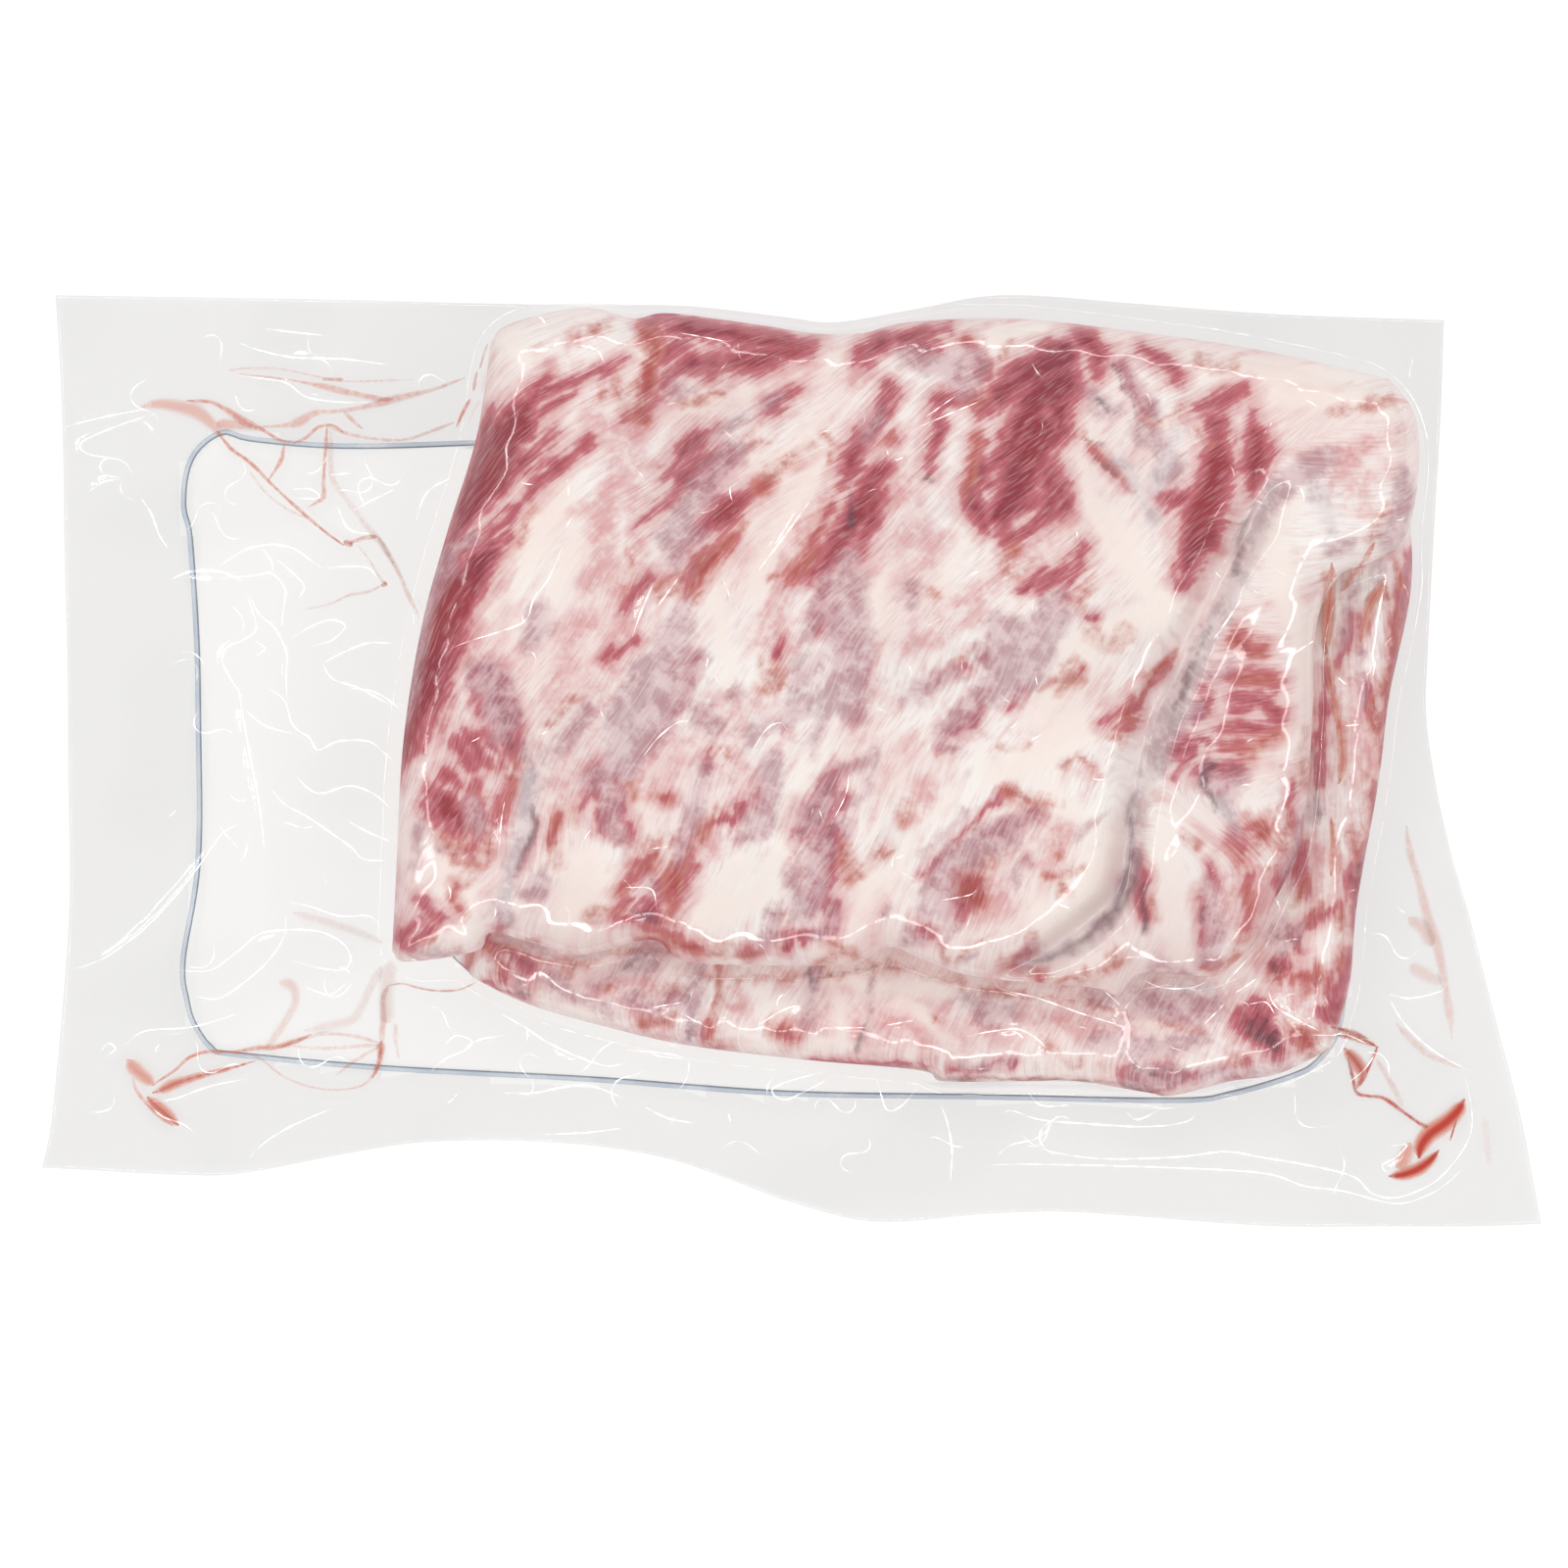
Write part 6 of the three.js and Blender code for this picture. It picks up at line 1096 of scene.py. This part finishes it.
# meat juice between the webs: strength, then chains of discs (x, y, radius) along the runs
strands = [
    (0.33, [[(-183, 99, 0.6), (-178, 100, 1.7), (-172.5, 99.5, 2.2), (-167, 98, 2.5), (-162.5, 94.5, 1.9),
        (-159.5, 90.5, 0.8)], [(-161, 94.5, 2.2), (-154.5, 94, 1.4), (-149.5, 93, 0.6)], [(-115, -79.5, 0.8),
        (-114.5, -73, 1.1), (-114.5, -66.5, 0.8), (-113, -63, 0.6)]]),
    (0.59, [[(-169.5, 101, 0.6), (-162.5, 100.5, 0.8), (-157, 97.5, 1.1), (-153, 95, 1.4), (-148.5, 93, 0.8),
        (-143.5, 90, 0.7), (-139, 89, 0.6)], [(-115, 49, 0.8), (-113.5, 50, 1.1)], [(-90, 101.5, 0.6),
        (-92, 98, 0.6), (-94, 93.5, 0.4)], [(-178.5, -90.5, 0.6), (-172.5, -86.5, 0.7), (-168.5, -83, 0.7),
        (-163.5, -81.5, 0.8), (-156.5, -81.5, 0.7), (-150, -80.5, 1.1), (-143.5, -80, 1.1),
        (-137.5, -78, 1.1), (-134.5, -76.5, 0.4)]]),
    (0.63, [[(-161, 92.5, 0.8), (-157, 87.5, 0.8), (-151.5, 83.5, 0.7), (-145.5, 77.5, 0.7),
        (-138, 70.5, 0.6), (-131, 64.5, 0.6), (-125.5, 60.5, 0.8)], [(-84.5, 116.5, 0.7), (-86, 112.5, 0.8),
        (-87, 109.5, 0.6)], [(-88, 109, 0.6), (-88.5, 106, 0.8), (-89, 103.5, 0.6)]]),
    (0.67, [[(-125.5, 61.5, 1.1), (-123, 60.5, 1.1)], [(-115, -78.5, 1.1), (-115, -80.5, 1.4),
        (-115.5, -85, 0.8), (-117.5, -89, 0.6)]]),
    (0.55, [[(-142, 89, 0.6), (-143, 84, 0.8), (-146.5, 78.5, 0.4)], [(-139.5, 89, 0.6), (-136, 90.5, 0.7),
        (-132.5, 93.5, 0.7), (-128.5, 94, 0.6), (-125.5, 92, 0.7)], [(148.5, -15.5, 0.6), (149, -24, 1.1),
        (148.5, -32, 0.8)]]),
    (0.26, [[(-152, 81.5, 0.3), (-147.5, 75.5, 0.4), (-142, 71, 0.3), (-136, 68, 0.3)], [(-116, 63, 0.8),
        (-113, 58, 0.8), (-110, 52.5, 0.8), (-107, 45.5, 0.8), (-103, 39, 0.6)], [(-143.5, -80.5, 0.6),
        (-137.5, -78, 0.7), (-131, -76.5, 0.7), (-123, -77, 0.7), (-115.5, -79, 0.6)], [(-128, -88.5, 0.3),
        (-123, -84.5, 0.6), (-115.5, -80, 0.6)]]),
    (0.37, [[(-150, 93.5, 0.6), (-142, 94, 0.8), (-138, 95, 1.7), (-133.5, 97.5, 1.1), (-127, 98, 0.8),
        (-118.5, 99.5, 1.1), (-111.5, 101.5, 1.4), (-101, 104, 0.8), (-91.5, 107.5, 0.6)],
        [(-125.5, 98, 0.8), (-122.5, 95, 0.8), (-120, 93, 0.4)]]),
    (0.3, [[(-129.5, 93.5, 0.6), (-125.5, 92, 0.8), (-118.5, 90.5, 0.6), (-109, 90, 0.6), (-101, 92.5, 0.6),
        (-94.5, 95, 0.6)], [(-156, -82, 0.4), (-149.5, -83, 0.4), (-142, -88.5, 0.4), (-133.5, -91.5, 0.4),
        (-125.5, -92, 0.4), (-119.5, -90.5, 0.4), (-116.5, -86, 0.6), (-115, -80, 0.6)]]),
    (0.52, [[(-130, 94, 0.7), (-130.5, 87, 0.6), (-131, 78.5, 0.7), (-131, 74, 1), (-133.5, 72, 0.6),
        (-135.5, 71, 0.3)], [(-186, -83.5, 1.1), (-184, -86, 2.5), (-180.5, -89, 2.2), (-178.5, -91, 1.1)],
        [(-113, -63, 0.3), (-109, -62.5, 0.4), (-103, -64, 0.4), (-98, -64.5, 0.4), (-92.5, -64, 0.4),
        (-87.5, -61.5, 0.3)]]),
    (0.15, [[(-129, 92.5, 0.8), (-129, 84, 1.1), (-128, 78, 1.1), (-124, 72.5, 1.1), (-120, 67, 1.1),
        (-115.5, 61.5, 1.1), (-111.5, 55, 0.8)]]),
    (0.44, [[(-124, 61, 0.6), (-120, 62.5, 0.8), (-116, 63, 0.7)], [(-155, 108.5, 0.4), (-146, 107.5, 0.4),
        (-139, 106.5, 0.4), (-134, 105.5, 0.8), (-129.5, 104.5, 1.1), (-123, 103, 1.1), (-115.5, 101.5, 1.1),
        (-111.5, 101.5, 1.1)], [(-131.5, 107, 0.6), (-125.5, 107, 0.6)], [(-184.5, -88.5, 0.4),
        (-183.5, -92, 0.6), (-181, -95.5, 0.6), (-177, -99, 0.6), (-173, -102.5, 0.4)]]),
    (0.22, [[(-121.5, 60.5, 0.4), (-118.5, 56.5, 0.4), (-115.5, 51.5, 0.4), (-114, 49.5, 0.6)],
        [(-114.5, 49.5, 0.6), (-118.5, 47.5, 0.6), (-124, 46.5, 0.5), (-129.5, 44, 0.4),
        (-136.5, 42.5, 0.3)], [(-157.5, 109.5, 1.1), (-153, 110, 0.6), (-144.5, 110, 0.4),
        (-136.5, 108.5, 0.4), (-126.5, 106.5, 0.4), (-117, 106.5, 0.4), (-106, 107, 0.3)],
        [(-139.5, -80, 0.6), (-131, -80.5, 0.7), (-122.5, -80, 0.7), (-115, -79.5, 0.6)], [(172.5, -18, 1.1),
        (173.5, -25.5, 1.4), (176, -34, 1.4), (178, -42, 1.7), (181, -51, 1.7), (183, -61.5, 1.4),
        (184.5, -71, 1.4), (185, -78, 0.6)]]),
    (0.7, [[(-180.5, -94, 0.8), (-178, -96.5, 2.2), (-174.5, -99.5, 2.2), (-171.5, -102, 1.1)],
        [(-179, -93, 0.8), (-176, -92, 1.7), (-173, -90.5, 1.9), (-168.5, -89, 1.5), (-163, -87.5, 1.1),
        (-157, -86, 0.8), (-150, -84, 0.4)]]),
    (0.11, [[(-136.5, -75.5, 1.1), (-128.5, -74, 1.7), (-122.5, -72, 1.7), (-118.5, -64.5, 1.4),
        (-115, -57.5, 1.4)], [(-139.5, -42.5, 1.4), (-131, -45, 1.4), (-123, -47.5, 1.4),
        (-114.5, -51, 1.1)], [(-112, -56, 2.2), (-113.5, -64, 2.5), (-113, -73.5, 2.2)]]),
    (0.18, [[(-111, -73.5, 0.8), (-111, -78.5, 0.8), (-110, -83.5, 0.6)], [(-143.5, -62, 2.5),
        (-140, -63, 1.9), (-139, -67.5, 1.4), (-141.5, -72.5, 1.4), (-145, -77.5, 1.4),
        (-147.5, -80.5, 0.8)], [(173, -44, 1.7), (177, -47, 2.2), (179.5, -52, 1.9)]]),
    (1, [[(188.5, -94.5, 1.1), (186.5, -98, 2.5), (183, -101.5, 2.8), (179, -104.5, 2.8), (176.5, -108, 2.5),
        (176, -111.5, 1.4)], [(181.5, -109, 0.8), (179, -112, 1.9), (175.5, -114.5, 2.2), (171.5, -116, 1.9),
        (167.5, -116.5, 0.8)]]),
    (0.5, [[(173.5, -107, 1.4), (172.5, -110, 2.5), (171, -113, 2.5), (169.5, -114, 1.1)]]),
    (0.9, [[(186.5, -99.5, 0.4), (185.5, -103, 0.4), (184.5, -106.5, 0.4)], [(156, -83, 0.6),
        (157.5, -89, 0.7), (158.5, -93, 0.7), (162, -94, 0.6), (166, -94.5, 0.7), (171, -98, 0.8),
        (176, -101.5, 0.8), (181, -104, 0.8)], [(164.5, -80, 0.6), (162.5, -84.5, 0.6), (159.5, -91, 0.6)]]),
    (0.2, [[(164, -83.5, 0.8), (168, -90, 1.1), (171.5, -97, 0.8)], [(169.5, -73.5, 0.6), (173.5, -78, 1.1),
        (178, -82, 1.1), (182.5, -84, 1.1), (188, -86, 0.6)]]),
    (0.75, [[(155, -80.5, 1.4), (158.5, -84.5, 2.5), (160, -88, 1.7), (158.5, -92, 0.6)]]),
    (0.8, [[(152, -76.5, 0.8), (159, -78, 1.1), (164, -80, 0.6)]]),
    (0.85, [[(149, -73.5, 0.6), (155, -75.5, 0.6), (160.5, -77.5, 0.6), (164.5, -80.5, 0.6)]]),
    (0.4, [[(153.5, -75.5, 1.1), (157.5, -76.5, 1.4), (161.5, -78.5, 0.8)]]),
    (0.14, [[(173.5, -57.5, 2.2), (178, -60, 2.5), (182, -62.5, 1.4)]]),
    (0.1, [[(194, -100, 1.4), (195.5, -113.5, 1.1)]]),
    (0.66, [[(146.5, 53.5, 0.6), (147, 49.5, 1.9), (147.5, 44, 2.5), (147.5, 38, 2.2), (147, 32, 1.4),
        (147, 29, 0.8)]]),
    (0.62, [[(147, 32.5, 0.8), (147.5, 25.5, 1.2), (149, 18, 1.2), (150.5, 11, 1.2), (151.5, 3, 1.5),
        (151.5, -2.5, 1.5), (150.5, -6.5, 0.8)], [(164, 50.5, 0.7), (161.5, 46.5, 1.9), (159, 43, 1.9),
        (157.5, 38, 1.2), (156.5, 32.5, 0.7)]]),
    (0.6, [[(158, 59, 0.7), (155, 52.5, 1.1), (152, 46.5, 0.8)]]),
]


# the panel's border on the flat web

panel = {"rise": 0.22, "thick": 0.1, "lineWidth": 1.6, "count": 420, "outer": "C4D2E2", "inner": "8A96A2",
         "roughness": 0.6}


def inkFinish():
    finish = Finish("panelInk")
    edge = finish.value("edge")
    worn = finish.noise(finish.node("ShaderNodeTexCoord", out="Object"), 90, detail=3)
    inner = edge.ramp(0.62, 0.8)
    ink = finish.mix(inner, colour(panel["outer"]), colour(panel["inner"]))
    dye = {"Base Color": ink, "Roughness": panel["roughness"]}
    return finish.over(0.3 + worn.ramp(0.3, 0.7) * 0.25 + inner * 0.3, dye)


def makePanelLine():        # four loops of points on the border's face and four just below, joined all round
    outline = curveThrough(panelOutline, panel["count"], closed=True)
    run = np.roll(outline, -2, axis=0) - np.roll(outline, 2, axis=0)
    inward = np.stack([run[:, 1], -run[:, 0]], axis=1) / np.hypot(run[:, 0], run[:, 1])[:, None]
    shares = np.array([0, 0.5, 0.7, 1])
    flat = outline[None] + inward[None] * (shares * panel["lineWidth"])[:, None, None]
    flat = np.concatenate([flat, flat[::-1]]).reshape(-1, 2)
    drop = np.repeat([0, panel["thick"]], 4 * panel["count"])
    z = sampled(marginRise, flat[:, 0], flat[:, 1]) + pouch["baseGap"] + panel["rise"] - drop
    index = np.arange(8 * panel["count"]).reshape(8, -1)
    index = np.concatenate([index, index[:1]])
    index = np.concatenate([index, index[:, :1]], axis=1)
    edge = np.repeat(np.concatenate([shares, shares[::-1]]), panel["count"])
    makePiece("panelLine", np.column_stack([flat, z]), [gridFaces(index)[:, ::-1]], inkFinish(),
              {"edge": edge})


# painted highlights: glowing white lines along the crests of the wrinkles

glint = {"share": 0.13, "lift": 0.1, "thick": 0.05, "strays": 160, "strayHalf": (0.07, 0.2), "seed": 41,
         "length": 22, "onMeat": 4, "meatLine": 18, "marginLine": 5, "reachX": (-200, 180), "reachY": 122,
         "meatFade": 0.6, "tone": "FFFFFF", "glow": 0.75, "roughness": 0.15}


def glintFinish():
    # painted highlight: white that glows by itself, standing in for the lamps' reflections on the crests
    finish = Finish("filmGlint")
    finish.material.cycles.emission_sampling = "NONE"
    white = colour(glint["tone"])
    return finish.over(finish.value("bright"), {
        "Base Color": white, "Roughness": glint["roughness"],
        "Emission Color": white, "Emission Strength": glint["glow"]})


def strayWrinkleGlints():
    # painted highlights of short stray wrinkles: a heading that swings along the way, in steps of one
    # millimetre
    draw = np.random.default_rng(glint["seed"])
    inner = pouchLoop[::4] * 0.96
    left, right = glint["reachX"]
    least = [left, -glint["reachY"], 0, 0.4, 0, 0]
    most = [right, glint["reachY"], fullTurn, 1.6, fullTurn, 1]
    strays = []
    while len(strays) < glint["strays"]:
        x, y, heading, swing, phase, size = draw.uniform(least, most)
        onMeat = sampled(filmHeight, x, y) > glint["meatLine"]
        step = np.arange(int(4 + size * (glint["onMeat"] if onMeat else glint["length"])))
        turn = heading + swing * np.sin(step / 3.5 + phase)
        line = np.stack([x + np.cumsum(np.cos(turn)), y + np.cumsum(np.sin(turn))], axis=1)
        free = sampled(filmHeight, line[:, 0], line[:, 1]).max() < glint["marginLine"]
        if (free or onMeat) and isInside(inner, line[:, 0], line[:, 1]).all():
            half, bright = draw.uniform(*glint["strayHalf"]), draw.uniform(0.25, 0.8)
            strays.append((half, bright * (glint["meatFade"] if onMeat else 1), line))
    return strays


def makeGlints():
    # each wrinkle's painted highlight: a glowing diamond swept along its crest, tapering to both ends, on the
    # formed web
    across, up = np.array([1, 0, -1, 0]), np.array([0, 1, 0, -1])
    points, faces, brights, start = [], [], [], 0
    crests = [(half * glint["share"], 1, line) for half, rise, lines in creases for line in lines]
    for half, bright, line in crests + strayWrinkleGlints():
        length = np.hypot(*np.diff(np.array(line, float), axis=0).T).sum()
        line = curveThrough(line, int(length) + 6)
        taper = half * np.sin(np.linspace(0.04, np.pi - 0.04, len(line)))
        taper = taper * (1 + 0.35 * np.sin(np.arange(len(line)) * 1.3))
        ring = line[:, None] + asideOf(line)[:, None] * (taper[:, None] * across)[..., None]
        z = sampled(filmHeight, ring[..., 0], ring[..., 1]) + glint["lift"] + glint["thick"] * up
        index = start + np.arange(z.size).reshape(z.shape)
        faces += tubeFaces(index)
        points.append(np.concatenate([ring, z[..., None]], axis=-1).reshape(-1, 3))
        gleam = bright * (0.55 + 0.45 * np.sin(np.arange(len(line)) * 0.7 + half * 90))
        brights.append(np.repeat(gleam, 4))
        start += z.size
    makePiece("filmGlints", np.concatenate(points), faces, glintFinish(),
              {"bright": np.concatenate(brights)})


# the juice between the webs

juice = {"below": 0.3, "flat": 0.22, "ring": 12, "spacing": 1.1, "poolFrom": 0.9, "poolTo": 2.2,
         "thin": "EFA28A", "deep": "C6331F", "roughness": 0.25}


def juiceFinish():
    finish = Finish("meatJuice")
    place = finish.node("ShaderNodeTexCoord", out="Object")
    drift = finish.noise(place, 140, detail=3)
    beads = finish.noise(place, 620, detail=1)
    strength, body, pool = (finish.value(k) for k in ("strength", "body", "pool"))
    # a run is beaded with a plain edge; a pool is smooth and fades out to its edge
    run = (body + (drift - 0.5) * 0.9).ramp(0, 0.7) * (0.5 + beads.ramp(0.4, 0.62) * 0.4)
    fade = (body + (drift - 0.5) * 0.4).ramp(-0.1, 0.75)
    cover = strength * (run * (1 - pool) + fade * pool)
    tone = finish.mix((strength * body).ramp(0.3, 0.85), colour(juice["thin"]), colour(juice["deep"]))
    return finish.over(cover, {"Base Color": tone, "Roughness": juice["roughness"]})


def makeJuice():
    # each run is a flattened tube: an ellipse swept along its line just below the formed web
    turn = np.arange(juice["ring"]) * 2 * np.pi / juice["ring"]
    points, faces, values, start = [], [], [], 0
    for strength, discs in [(strength, chain) for strength, chains in strands for chain in chains]:
        length = np.hypot(*np.diff(np.array(discs)[:, :2], axis=0).T).sum()
        line = curveThrough(discs, int(length / juice["spacing"]) + 6)
        cap = np.linspace(0, 1, len(line))
        half = np.maximum(line[:, 2], 0.3) * np.minimum(1, np.minimum(cap, 1 - cap) * 8 + 0.08) ** 0.5
        line = line[:, :2]
        ring = line[:, None] + asideOf(line)[:, None] * (half[:, None] * np.cos(turn))[..., None]
        top = sampled(filmHeight, ring[..., 0], ring[..., 1]) - juice["below"]
        z = top + juice["flat"] * np.sin(turn) * np.minimum(half, 1)[:, None]
        index = start + np.arange(z.size).reshape(z.shape)
        faces += tubeFaces(index)
        points.append(np.concatenate([ring, z[..., None]], axis=-1).reshape(-1, 3))
        pool = smooth((half - juice["poolFrom"]) / (juice["poolTo"] - juice["poolFrom"]))
        body = 1 - np.abs(np.cos(turn))
        values.append(np.stack(np.broadcast_arrays(strength, body, pool[:, None])).reshape(3, -1))
        start += z.size
    strength, body, pool = np.concatenate(values, axis=1)
    makePiece("juiceRuns", np.concatenate(points), faces, juiceFinish(),
              {"strength": strength, "body": body, "pool": pool})


pouchLoop = loopOf(pouchSides)
filmX, filmY, filmHeight, marginRise, filmHaze = drapeFilm()
print("film is draped")
makePouch()
makePanelLine()
makeJuice()
makeGlints()
